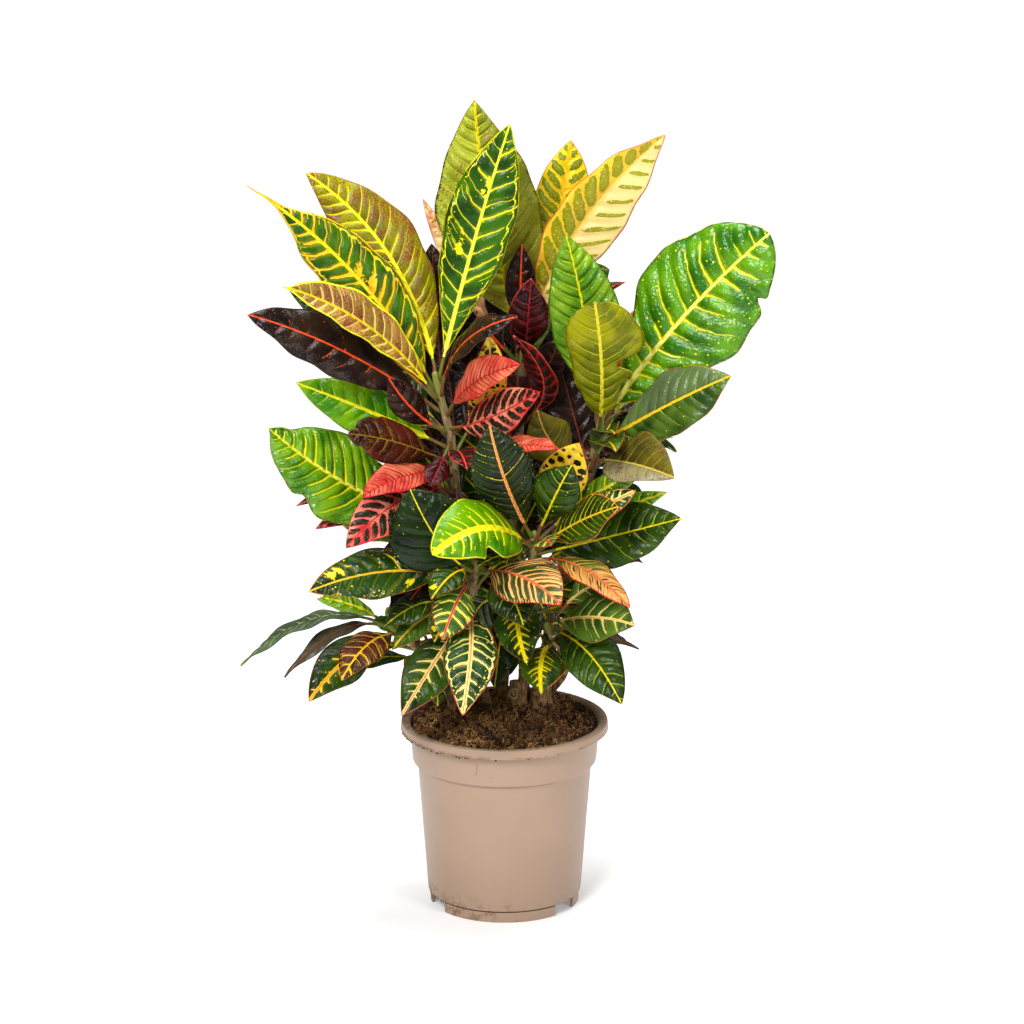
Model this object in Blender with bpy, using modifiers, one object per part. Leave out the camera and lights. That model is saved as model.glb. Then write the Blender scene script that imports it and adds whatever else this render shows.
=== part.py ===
"""A croton in a nursery pot: the pot, its soil, seven rooted stems and their leaves.

+Z is up, the front is towards -Y, and the origin is on the floor under the pot's axis.
Lengths below are in millimetres and are turned into metres where objects are made.
"""

import math
from collections import namedtuple

import bmesh
import bpy
from mathutils import Matrix, Vector

# FIT is the gap between neighbours, and PAST is how far a cutter runs past what it cuts
MM = 0.001
FIT = 0.3
PAST = 2.0
TURN_STEPS = 60
DRAIN_SIDES = 12

# Pot: a thin moulded wall with a turned-down lip, a collar and a foot ring in three arcs
POT_HEIGHT = 175.0
WALL = 1.4
LIP_RADIUS = 95.0
LIP_DROP = 8.6
MOUTH_RADIUS = 87.6
COLLAR_TOP_RADIUS = 87.0
COLLAR_FOOT_RADIUS = 84.4
COLLAR_FOOT = 137.0
BODY_TOP_RADIUS = 79.5
BODY_TOP = 130.0
BODY_FOOT_RADIUS = 70.4
FLOOR_HEIGHT = 11.0
FLOOR_THICKNESS = 1.8
FOOT_TOP_RADIUS = 69.0
FOOT_RADIUS = 68.1
FOOT_WALL = 3.0
FOOT_GAP_AZIMUTHS = (54.5, 174.5, 294.5)
FOOT_GAP_ANGLE = 24.0
FOOT_GAP_HEIGHT = 9.8
LIP_EDGE = 1.2
DRAIN_RADIUS = 4.5
DRAIN_CIRCLE = 42.0
DRAIN_COUNT = 6

# Soil: fills the pot to a little under the lip, slightly higher in the middle
SOIL_EDGE = 165.0
SOIL_CROWN = 169.0

# Stems: points of (x, y, z, radius), from the buried end to the growing tip
STEM_ROUNDNESS = 2
PATH_STEPS = 3
POCKET_CLEARANCE = 0.5
STEMS = {
    "left": (
        (-44, 45, 112, 5.8), (-44, 45, 168, 5.8), (-45, 38, 240, 5.2), (-42, 26, 330, 4.7),
        (-45, 14, 400, 4.2), (-48, 8, 437, 3.8), (-54, 4, 464, 3.5), (-60, 0, 489, 3.2),
        (-63, -1, 503, 2.6),
    ),
    "right": (
        (33, 38, 112, 10.5), (33, 38, 168, 10.0), (38, 40, 215, 7.5), (56, 32, 320, 5.6),
        (76, 18, 395, 4.6), (85, 10, 440, 3.8), (88, 6, 462, 3.0),
    ),
    "back": (
        (-4, 62, 112, 7.0), (-4, 62, 168, 7.0), (2, 64, 260, 6.0), (10, 62, 380, 5.0),
        (16, 55, 480, 4.0), (19, 50, 532, 2.8),
    ),
    "front": (
        (17, 50, 112, 5.8), (17, 50, 168, 5.6), (19, 34, 230, 5.0), (22, -6, 300, 4.4),
        (26, -30, 345, 3.7), (27, -36, 364, 3.0),
    ),
    "low_left": (
        (-46, 25, 112, 5.6), (-46, 25, 168, 5.4), (-55, 15, 208, 4.9), (-82, 2, 244, 4.0),
        (-106, -12, 268, 2.8),
    ),
    "low_centre": (
        (-16, 44, 112, 6.0), (-16, 44, 168, 5.8), (-28, 22, 215, 5.0), (-37, -12, 264, 4.4),
        (-29, -42, 314, 3.7), (-20, -55, 348, 2.9),
    ),
    "low_right": (
        (35, 61, 125, 5.4), (35, 61, 168, 5.2), (53, 50, 200, 4.8), (56, 22, 228, 4.4),
        (45, -18, 257, 3.7), (38, -44, 280, 2.9),
    ),
}

# The cut stump that stands beside the front stem and is joined to it below
STUMP = ((11, 40, 112, 8.8), (11, 40, 170, 8.8), (12, 41, 186, 8.6), (13, 42, 197, 8.4))

# Leaves: where each leaves its stem, where its tip is, and how its blade lies between
Leaf = namedtuple(
    "Leaf",
    "stem height tip width face bow colour fold stalk peak blunt twist",
    defaults=("green", 14, 20, 0.52, 0.85, 0),
)
BLADE_RINGS = (0.12, 0.26, 0.42, 0.58, 0.74, 0.88, 0.965)
STALK_RADIUS = 1.5
STALK_FOOT_RADIUS = 2.0
FORE = (0, -1, 0.3)
UP = (0, -0.5, 1)
LEAVES = (
    Leaf("back", 520, (-27, 60, 739), 94, FORE, (-8, 0, 4), "olive", peak=0.45, blunt=0.95),
    Leaf("back", 514, (60, 90, 696), 56, FORE, (6, 0, 0), "yellow", peak=0.6),
    Leaf("back", 524, (144, 40, 711), 66, (0.4, -1, 0.1), (-14, 0, 8), "yellow", fold=22),
    Leaf("back", 490, (-74, 96, 634), 38, FORE, (-10, 8, 10), "orange"),
    Leaf("back", 516, (-30, 150, 650), 70, UP, (0, 10, 20), "olive"),
    Leaf("back", 502, (96, 154, 560), 60, UP, (0, 8, 24), "green"),
    Leaf("back", 470, (-20, 154, 500), 62, UP, (0, 8, 20), "bright"),
    Leaf("back", 448, (-118, 140, 470), 56, UP, (0, 6, 14), "maroon"),
    Leaf("back", 400, (92, 154, 400), 60, UP, (0, 8, 20), "green"),
    Leaf("back", 350, (-60, 154, 330), 60, UP, (0, 8, 20), "green"),
    Leaf("right", 452, (55, -12, 632), 64, FORE, (4, 0, 0), "green"),
    Leaf("right", 447, (80, -58, 582), 78, FORE, (4, -12, 0), "olive", peak=0.58, blunt=0.55),
    Leaf("right", 456, (236, -14, 634), 112, (-0.3, -1, 0.3), (-7, -4, 5), "bright", peak=0.55,
         blunt=0.62),
    Leaf("right", 435, (201, -56, 514), 60, (0, -0.8, 0.6), (0, -10, 5), "green"),
    Leaf("right", 428, (153, 20, 436), 42, UP, (0, 4, 14), "green"),
    Leaf("right", 418, (151, -84, 428), 60, (0, -0.9, 0.7), (-4, -11, 8), "olive", fold=26),
    Leaf("right", 408, (50, 42, 502), 46, FORE, (0, 4, -6), "maroon"),
    Leaf("right", 450, (124, 66, 548), 40, FORE, (4, 4, 0), "red"),
    Leaf("right", 440, (196, 112, 492), 60, UP, (0, 12, 20), "green"),
    Leaf("left", 497, (5, 4, 729), 62, FORE, (-2, 0, 0), "green"),
    Leaf("left", 492, (-178, 44, 676), 66, (0.1, -1, 0.5), (19, 6, 14), "olive"),
    Leaf("left", 485, (-228, -12, 677), 62, (0, -1, 0.6), (12, -2, 12), "green", peak=0.42,
         blunt=1.2),
    Leaf("left", 478, (-196, -70, 599), 46, (0, -0.8, 0.8), (8, -4, 15), "olive", fold=34),
    Leaf("left", 466, (-228, -40, 566), 56, (0.2, -0.8, 0.7), (0, 0, 10), "maroon"),
    Leaf("left", 474, (-195, 42, 570), 42, (0, -0.8, 0.6), (0, 8, 6), "green"),
    Leaf("left", 430, (-187, -6, 494), 46, (0.1, -1, 0.5), (0, 0, 2), "bright"),
    Leaf("left", 440, (-172, 112, 500), 56, UP, (0, 6, 14), "green"),
    Leaf("left", 352, (-211, -36, 460), 78, (0.2, -1, 0.4), (-6, 0, -11), "bright", peak=0.58),
    Leaf("left", 482, (12, -60, 569), 32, (0.6, -0.4, 0.6), (-14, -10, 14), "maroon"),
    Leaf("left", 462, (14, -78, 530), 38, (0, -0.8, 0.6), (-8, -6, 8), "red", fold=28),
    Leaf("left", 449, (31, -84, 507), 42, (0, -0.9, 0.5), (-4, -4, -6), "red"),
    Leaf("left", 415, (-139, -58, 461), 42, (0, -0.9, 0.5), (0, -4, 6), "maroon"),
    Leaf("left", 390, (-141, -88, 364), 48, (0, -1, 0.5), (0, -8, 18), "red"),
    Leaf("left", 310, (-150, 96, 330), 54, UP, (0, 4, 18), "bright"),
    Leaf("front", 350, (-63, -147, 375), 64, (0, -0.9, 0.6), (2, -15, 25), "bright"),
    Leaf("front", 360, (-13, -84, 476), 56, (0, -1, 0.2), (-4, -14, 0), "green"),
    Leaf("front", 362, (67, -56, 452), 44, FORE, (0, 0, 0), "yellow"),
    Leaf("front", 348, (101, -108, 408), 42, (0, -0.8, 0.6), (0, -6, 6), "green"),
    Leaf("front", 340, (158, -70, 386), 58, (0, -0.9, 0.6), (0, 4, -2), "green"),
    Leaf("front", 336, (112, -112, 315), 32, UP, (0, -4, 16), "orange"),
    Leaf("low_centre", 330, (-84, -66, 412), 82, FORE, (-2, -8, -10), "green", blunt=0.75),
    Leaf("low_centre", 320, (-175, -78, 320), 50, (0, -0.8, 0.7), (0, 0, 14), "green"),
    Leaf("low_centre", 330, (50, -152, 331), 58, (0, -0.7, 0.8), (0, -6, 14), "orange"),
    Leaf("low_centre", 292, (-37, -158, 230), 48, (0, -1, 0.4), (6, -20, 22), "green"),
    Leaf("low_centre", 274, (-92, -108, 213), 44, (-0.1, -1, 0.5), (4, -6, 12), "green"),
    Leaf("low_left", 266, (-240, -20, 231), 40, (0, 0, 1), (0, 0, 27), "green"),
    Leaf("low_left", 262, (-176, -78, 217), 42, (0, -0.9, 0.7), (0, 4, 10), "green"),
    Leaf("low_left", 257, (-146, -100, 244), 38, (0, -0.6, 1), (0, -10, 18), "maroon"),
    Leaf("low_right", 278, (116, -98, 295), 50, (0, -0.9, 0.7), (0, 0, 7), "green", stalk=10),
    Leaf("low_right", 270, (105, -112, 225), 50, (0, -1, 0.6), (1, -5, 16), "green", stalk=10),
    Leaf("low_right", 259, (33, -121, 238), 38, (0, -1, 0.6), (-5, -8, 9), "yellow"),
)

COLOURS = {
    "pot": (0.56, 0.44, 0.34), "soil": (0.05, 0.028, 0.014), "stem": (0.30, 0.21, 0.13),
    "green": (0.02, 0.075, 0.015), "bright": (0.07, 0.28, 0.02), "olive": (0.30, 0.30, 0.03),
    "yellow": (0.62, 0.45, 0.05), "orange": (0.65, 0.25, 0.06), "red": (0.42, 0.06, 0.04),
    "maroon": (0.06, 0.015, 0.014),
}
ROUGHNESS = {"pot": 0.45, "soil": 0.95, "stem": 0.85}
LEAF_ROUGHNESS = 0.35


def collection(name):
    """A new collection in the scene."""
    made = bpy.data.collections.new(name)
    bpy.context.scene.collection.children.link(made)
    return made


def material(name):
    """A Principled material in one of the named colours."""
    made = bpy.data.materials.new(name)
    made.use_nodes = True
    shader = made.node_tree.nodes["Principled BSDF"]
    shader.inputs["Base Color"].default_value = (*COLOURS[name], 1.0)
    shader.inputs["Roughness"].default_value = ROUGHNESS.get(name, LEAF_ROUGHNESS)
    shader.inputs["Metallic"].default_value = 0.0
    return made


def add_object(name, data, colour, where):
    """An object in a collection, with its own material."""
    made = bpy.data.objects.new(name, data)
    where.objects.link(made)
    if colour:
        data.materials.append(material(colour))
    return made


def turned(name, profile, colour, where):
    """A profile of (radius, height) turned about Z; it runs down the outer side."""
    mesh = bpy.data.meshes.new(name)
    points = [(radius * MM, 0, height * MM) for radius, height in profile]
    mesh.from_pydata(points, [(i, i + 1) for i in range(len(points) - 1)], [])
    made = add_object(name, mesh, colour, where)
    screw = made.modifiers.new("Turn", "SCREW")
    screw.steps = TURN_STEPS
    screw.render_steps = TURN_STEPS
    screw.use_merge_vertices = True
    screw.merge_threshold = 0.00001
    screw.use_smooth_shade = True
    return made


def as_cutter(made):
    """Keep an object only as the shape of a Boolean."""
    made.hide_render = True
    made.display_type = "WIRE"
    return made


def combine(part, other, operation):
    """An exact Boolean on a part."""
    boolean = part.modifiers.new(other.name, "BOOLEAN")
    boolean.operation = operation
    boolean.solver = "EXACT"
    boolean.object = other


def drum(name, radius, bottom, top, centre, where):
    """A cylinder cutter from one height to another."""
    mesh = bpy.data.meshes.new(name)
    shape = bmesh.new()
    bmesh.ops.create_cone(
        shape, cap_ends=True, segments=DRAIN_SIDES, radius1=radius * MM, radius2=radius * MM,
        depth=(top - bottom) * MM,
    )
    shape.to_mesh(mesh)
    shape.free()
    made = as_cutter(add_object(name, mesh, None, where))
    made.location = (centre[0] * MM, centre[1] * MM, (top + bottom) / 2 * MM)
    return made


def pot_profile():
    """From the middle of the floor's upper side, up the inside, over the lip and down."""
    lip_foot = POT_HEIGHT - LIP_DROP
    skirt = LIP_RADIUS - WALL
    return (
        (0, FLOOR_HEIGHT + FLOOR_THICKNESS),
        (BODY_FOOT_RADIUS - WALL, FLOOR_HEIGHT + FLOOR_THICKNESS),
        (BODY_TOP_RADIUS - WALL, BODY_TOP + 0.6),
        (COLLAR_FOOT_RADIUS - WALL, COLLAR_FOOT + 0.6),
        (COLLAR_TOP_RADIUS - WALL, POT_HEIGHT - 3.0),
        (MOUTH_RADIUS, POT_HEIGHT),
        (LIP_RADIUS - LIP_EDGE, POT_HEIGHT),
        (LIP_RADIUS, POT_HEIGHT - LIP_EDGE),
        (LIP_RADIUS, lip_foot),
        (skirt, lip_foot),
        (skirt, POT_HEIGHT - WALL),
        (COLLAR_TOP_RADIUS + 0.6, POT_HEIGHT - WALL - 0.4),
        (COLLAR_TOP_RADIUS, POT_HEIGHT - 4.0),
        (COLLAR_FOOT_RADIUS, COLLAR_FOOT),
        (BODY_TOP_RADIUS, BODY_TOP),
        (BODY_FOOT_RADIUS, FLOOR_HEIGHT),
        (FOOT_TOP_RADIUS, FLOOR_HEIGHT - 1.0),
        (FOOT_RADIUS, 0),
        (FOOT_RADIUS - FOOT_WALL, 0),
        (FOOT_TOP_RADIUS - FOOT_WALL, FLOOR_HEIGHT),
        (0, FLOOR_HEIGHT),
    )


def foot_gap(number, azimuth, where):
    """A wedge that opens the foot ring, centred on an azimuth from the front."""
    inner = FOOT_RADIUS - 3 * FOOT_WALL
    outer = FOOT_RADIUS + 3 * FOOT_WALL
    half = math.radians(FOOT_GAP_ANGLE / 2)
    middle = math.radians(azimuth)
    outline = []
    for radius, side in ((inner, -1), (outer, -1), (outer, 1), (inner, 1)):
        angle = middle + side * half
        outline.append(Vector((radius * math.sin(angle), -radius * math.cos(angle), -PAST)) * MM)
    mesh = bpy.data.meshes.new("foot_gap")
    shape = bmesh.new()
    face = shape.faces.new([shape.verts.new(point) for point in outline])
    raised = bmesh.ops.extrude_face_region(shape, geom=[face])["geom"]
    lifted = [item for item in raised if isinstance(item, bmesh.types.BMVert)]
    bmesh.ops.translate(shape, verts=lifted, vec=(0, 0, (PAST + FOOT_GAP_HEIGHT) * MM))
    bmesh.ops.recalc_face_normals(shape, faces=shape.faces)
    shape.to_mesh(mesh)
    shape.free()
    return as_cutter(add_object(f"foot_gap_{number}", mesh, None, where))


def make_pot(parts, cutters):
    """The pot, with its foot ring opened in three places and its floor drained."""
    pot = turned("pot", pot_profile(), "pot", parts)
    for number, azimuth in enumerate(FOOT_GAP_AZIMUTHS):
        combine(pot, foot_gap(number, azimuth, cutters), "DIFFERENCE")
    for number in range(DRAIN_COUNT):
        angle = 2 * math.pi * number / DRAIN_COUNT
        centre = (DRAIN_CIRCLE * math.cos(angle), DRAIN_CIRCLE * math.sin(angle))
        low, high = FLOOR_HEIGHT - PAST, FLOOR_HEIGHT + FLOOR_THICKNESS + PAST
        hole = drum(f"drain_{number}", DRAIN_RADIUS, low, high, centre, cutters)
        combine(pot, hole, "DIFFERENCE")


def make_soil(parts, cutters):
    """The soil, fitted inside the pot, with a pocket for each stem and the stump."""
    floor = FLOOR_HEIGHT + FLOOR_THICKNESS + FIT
    clear = WALL + FIT
    rise = (COLLAR_TOP_RADIUS - COLLAR_FOOT_RADIUS) / (POT_HEIGHT - 4.0 - COLLAR_FOOT)
    edge = COLLAR_FOOT_RADIUS + rise * (SOIL_EDGE - COLLAR_FOOT) - clear
    profile = (
        (0, SOIL_CROWN),
        (edge * 0.35, SOIL_CROWN - 0.4),
        (edge * 0.7, SOIL_CROWN - 1.8),
        (edge - 0.5, SOIL_EDGE),
        (COLLAR_FOOT_RADIUS - clear - 0.3, COLLAR_FOOT + 1.5),
        (BODY_TOP_RADIUS - clear - 0.3, BODY_TOP + 1.5),
        (BODY_FOOT_RADIUS - clear - 0.3, floor),
        (0, floor),
    )
    soil = turned("soil", profile, "soil", parts)
    for name, points in (*STEMS.items(), ("stump", STUMP)):
        roomy = [(x, y, z, radius + POCKET_CLEARANCE) for x, y, z, radius in points]
        x, y, bottom, radius = roomy[0]
        roomy[0] = (x, y, bottom - POCKET_CLEARANCE, radius)
        tube = make_tube(f"tube_{name}", roomy, cutters, None)
        pocket = as_cutter(to_mesh_object(tube, f"pocket_{name}", None, cutters))
        combine(soil, pocket, "DIFFERENCE")


def smooth_path(points):
    """A Catmull-Rom curve through points of (x, y, z, radius)."""
    knots = [Vector(point) for point in points]
    knots = [2 * knots[0] - knots[1], *knots, 2 * knots[-1] - knots[-2]]
    path = []
    for i in range(1, len(knots) - 2):
        a, b, c, d = knots[i - 1:i + 3]
        for step in range(PATH_STEPS):
            t = step / PATH_STEPS
            curve = 2 * b + (c - a) * t + (2 * a - 5 * b + 4 * c - d) * t ** 2
            path.append((curve + (3 * b - a - 3 * c + d) * t ** 3) / 2)
    return [*path, knots[-2]]


def make_tube(name, points, where, colour="stem"):
    """A tapering tube along a smooth path."""
    data = bpy.data.curves.new(name, "CURVE")
    data.dimensions = "3D"
    data.bevel_depth = MM
    data.bevel_resolution = STEM_ROUNDNESS
    data.use_fill_caps = True
    spline = data.splines.new("POLY")
    path = smooth_path(points)
    spline.points.add(len(path) - 1)
    for knot, (x, y, z, radius) in zip(spline.points, path):
        knot.co = (x * MM, y * MM, z * MM, 1)
        knot.radius = radius
    return add_object(name, data, colour, where)


def to_mesh_object(tube, name, colour, where):
    """The tube as a mesh with its caps welded; the curve is removed."""
    bpy.context.view_layer.update()
    depsgraph = bpy.context.evaluated_depsgraph_get()
    mesh = bpy.data.meshes.new_from_object(tube.evaluated_get(depsgraph))
    mesh.materials.clear()
    shape = bmesh.new()
    shape.from_mesh(mesh)
    bmesh.ops.remove_doubles(shape, verts=shape.verts, dist=0.00001)
    bmesh.ops.recalc_face_normals(shape, faces=shape.faces)
    shape.to_mesh(mesh)
    shape.free()
    made = add_object(name, mesh, colour, where)
    made.matrix_world = tube.matrix_world.copy()
    bpy.data.objects.remove(tube)
    return made


def make_stems(parts, cutters):
    """A woody stem for each cutting; the front one is joined to its cut stump."""
    for name, points in STEMS.items():
        if name != "front":
            make_tube(f"stem_{name}", points, parts)
    trunk = make_tube("front_tube", STEMS["front"], cutters, None)
    stem = to_mesh_object(trunk, "stem_front", "stem", parts)
    stump = to_mesh_object(make_tube("stump_tube", STUMP, cutters, None), "stump", None, cutters)
    combine(stem, as_cutter(stump), "UNION")


def on_stem(path, height):
    """Centre, direction and radius of a stem at a height."""
    below = [i for i in range(len(path) - 1) if path[i].z <= height]
    low, high = path[below[-1]], path[below[-1] + 1]
    there = low.lerp(high, min(1.0, (height - low.z) / (high.z - low.z)))
    return there.xyz, (high.xyz - low.xyz).normalized(), there.w


class Midrib:
    """The curve from the stem to the leaf's tip, with the blade's directions along it."""

    SAMPLES = 60
    FACING = 36

    def __init__(self, leaf, path):
        centre, along, radius = on_stem(path, leaf.height)
        self.tip = Vector(leaf.tip)
        self.control = (centre + self.tip) / 2 + 2 * Vector(leaf.bow)
        away = self.control - centre
        self.away = (away - away.dot(along) * along).normalized()
        self.start = centre + self.away * (radius + FIT)
        self.twist = math.radians(leaf.twist)
        steps = range(self.SAMPLES + 1)
        self.faces = [None for _ in steps]
        self.faces[self.FACING] = self.square_to(self.FACING, Vector(leaf.face))
        for i in range(self.FACING + 1, self.SAMPLES + 1):
            self.faces[i] = self.square_to(i, self.faces[i - 1])
        for i in range(self.FACING - 1, -1, -1):
            self.faces[i] = self.square_to(i, self.faces[i + 1])
        spots = [self.point(i / self.SAMPLES) for i in steps]
        self.length = sum((b - a).length for a, b in zip(spots, spots[1:]))

    def point(self, t):
        return (1 - t) ** 2 * self.start + 2 * t * (1 - t) * self.control + t ** 2 * self.tip

    def tangent(self, t):
        turn = (1 - t) * (self.control - self.start) + t * (self.tip - self.control)
        return turn.normalized()

    def square_to(self, index, direction):
        along = self.tangent(index / self.SAMPLES)
        return (direction - direction.dot(along) * along).normalized()

    def frame(self, t):
        """Point, side and face of the blade at a place from 0 to 1."""
        place = min(t * self.SAMPLES, self.SAMPLES - 0.001)
        low = int(place)
        face = self.faces[low].lerp(self.faces[low + 1], place - low)
        along = self.tangent(t)
        face = (face - face.dot(along) * along).normalized()
        face.rotate(Matrix.Rotation(self.twist * (t - 0.6), 3, along))
        return self.point(t), along.cross(face), face


def half_width(leaf, s):
    """Half the blade's width at s, from 0 at its foot to 1 at its tip."""
    skew = math.log(0.5) / math.log(leaf.peak)
    return leaf.width / 2 * math.sin(math.pi * s ** skew) ** leaf.blunt


def ring(point, side, face, edge, lift, rib, crown, keel):
    """Six points round a section: two edges, two on top and two below the rib."""
    left = point - side * edge + face * lift
    right = point + side * edge + face * lift
    return (
        left, point - side * rib + face * crown, point + side * rib + face * crown,
        right, point + side * rib - face * keel, point - side * rib - face * keel,
    )


def leaf_rings(leaf, path):
    """Sections from the stalk's foot to the tip."""
    midrib = Midrib(leaf, path)
    stalk = leaf.stalk / midrib.length
    _, side, face = midrib.frame(0)
    bend = midrib.tangent(0).rotation_difference(midrib.away)
    side.rotate(bend)
    face.rotate(bend)
    foot = STALK_FOOT_RADIUS
    rings = [ring(midrib.start, side, face, foot, 0, foot / 2, foot * 0.87, foot * 0.87)]
    for t in (stalk / 2, stalk):
        high = STALK_RADIUS * 0.87
        rings.append(ring(*midrib.frame(t), STALK_RADIUS, 0, STALK_RADIUS / 2, high, high))
    fold = math.radians(leaf.fold)
    for s in (*BLADE_RINGS, 1.0):
        width = max(half_width(leaf, min(s, 1.0)), 0.8) if s < 1 else 0.8
        rib = min(1.3 * (1 - s) + 0.3, width * 0.45)
        keel = 0.9 * (1 - s) + 0.35
        edge, lift = width * math.cos(fold), width * math.sin(fold)
        t = stalk + (1 - stalk) * s
        rings.append(ring(*midrib.frame(t), edge, lift, rib, 0.35, keel))
    return rings


def make_leaf(name, leaf, path, where):
    """A leaf: its stalk and its folded blade, lofted through the sections."""
    mesh = bpy.data.meshes.new(name)
    shape = bmesh.new()
    loops = []
    for section in leaf_rings(leaf, path):
        loops.append([shape.verts.new(point * MM) for point in section])
    for low, high in zip(loops, loops[1:]):
        for i in range(6):
            shape.faces.new((low[i], low[i - 1], high[i - 1], high[i]))
    shape.faces.new(loops[0])
    shape.faces.new(loops[-1][::-1])
    bmesh.ops.triangulate(shape, faces=shape.faces)
    bmesh.ops.recalc_face_normals(shape, faces=shape.faces)
    shape.to_mesh(mesh)
    shape.free()
    mesh.shade_smooth()
    return add_object(name, mesh, leaf.colour, where)


def make_leaves(parts):
    """Every leaf, numbered along the list for each stem."""
    paths = {name: smooth_path(points) for name, points in STEMS.items()}
    count = dict.fromkeys(STEMS, 0)
    for leaf in LEAVES:
        count[leaf.stem] += 1
        make_leaf(f"leaf_{leaf.stem}_{count[leaf.stem]:02d}", leaf, paths[leaf.stem], parts)


def main():
    for old in list(bpy.data.objects):
        bpy.data.objects.remove(old)
    parts = collection("potted_croton")
    cutters = collection("cutters")
    make_pot(parts, cutters)
    make_soil(parts, cutters)
    make_stems(parts, cutters)
    make_leaves(parts)


main()
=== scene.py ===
"""Looks of a croton in a nursery pot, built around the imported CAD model.

+Z is up and the front is towards -Y. Tables are in millimetres; meshes are made in metres.
"""

import math
from collections import namedtuple

import bmesh
import bpy
import numpy as np
from mathutils import Matrix, Vector, noise
from mathutils.bvhtree import BVHTree


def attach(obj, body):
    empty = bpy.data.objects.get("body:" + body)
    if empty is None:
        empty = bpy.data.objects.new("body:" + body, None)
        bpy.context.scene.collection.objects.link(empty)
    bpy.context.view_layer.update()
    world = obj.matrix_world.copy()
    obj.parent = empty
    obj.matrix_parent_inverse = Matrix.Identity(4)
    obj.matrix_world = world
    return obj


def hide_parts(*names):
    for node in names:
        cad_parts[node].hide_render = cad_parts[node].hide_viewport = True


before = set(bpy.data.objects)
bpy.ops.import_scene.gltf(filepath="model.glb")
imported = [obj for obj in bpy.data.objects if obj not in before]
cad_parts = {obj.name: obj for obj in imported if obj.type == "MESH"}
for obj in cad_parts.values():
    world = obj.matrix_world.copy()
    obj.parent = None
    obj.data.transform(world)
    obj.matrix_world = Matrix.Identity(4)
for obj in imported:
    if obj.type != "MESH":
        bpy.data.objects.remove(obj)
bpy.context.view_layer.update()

MM = 0.001
# Gap between a leaf's stalk and its stem
FIT = 0.3

# The plant's own tables, the same as in the CAD source
PATH_STEPS = 3
STEMS = {
    "left": (
        (-44, 45, 112, 5.8), (-44, 45, 168, 5.8), (-45, 38, 240, 5.2), (-42, 26, 330, 4.7),
        (-45, 14, 400, 4.2), (-48, 8, 437, 3.8), (-54, 4, 464, 3.5), (-60, 0, 489, 3.2),
        (-63, -1, 503, 2.6),
    ),
    "right": (
        (33, 38, 112, 10.5), (33, 38, 168, 10.0), (38, 40, 215, 7.5), (56, 32, 320, 5.6),
        (76, 18, 395, 4.6), (85, 10, 440, 3.8), (88, 6, 462, 3.0),
    ),
    "back": (
        (-4, 62, 112, 7.0), (-4, 62, 168, 7.0), (2, 64, 260, 6.0), (10, 62, 380, 5.0),
        (16, 55, 480, 4.0), (19, 50, 532, 2.8),
    ),
    "front": (
        (17, 50, 112, 5.8), (17, 50, 168, 5.6), (19, 34, 230, 5.0), (22, -6, 300, 4.4),
        (26, -30, 345, 3.7), (27, -36, 364, 3.0),
    ),
    "low_left": (
        (-46, 25, 112, 5.6), (-46, 25, 168, 5.4), (-55, 15, 208, 4.9), (-82, 2, 244, 4.0),
        (-106, -12, 268, 2.8),
    ),
    "low_centre": (
        (-16, 44, 112, 6.0), (-16, 44, 168, 5.8), (-28, 22, 215, 5.0), (-37, -12, 264, 4.4),
        (-29, -42, 314, 3.7), (-20, -55, 348, 2.9),
    ),
    "low_right": (
        (35, 61, 125, 5.4), (35, 61, 168, 5.2), (53, 50, 200, 4.8), (56, 22, 228, 4.4),
        (45, -18, 257, 3.7), (38, -44, 280, 2.9),
    ),
}
STUMP = ((11, 40, 112, 8.8), (11, 40, 170, 8.8), (12, 41, 186, 8.6), (13, 42, 197, 8.4))

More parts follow.
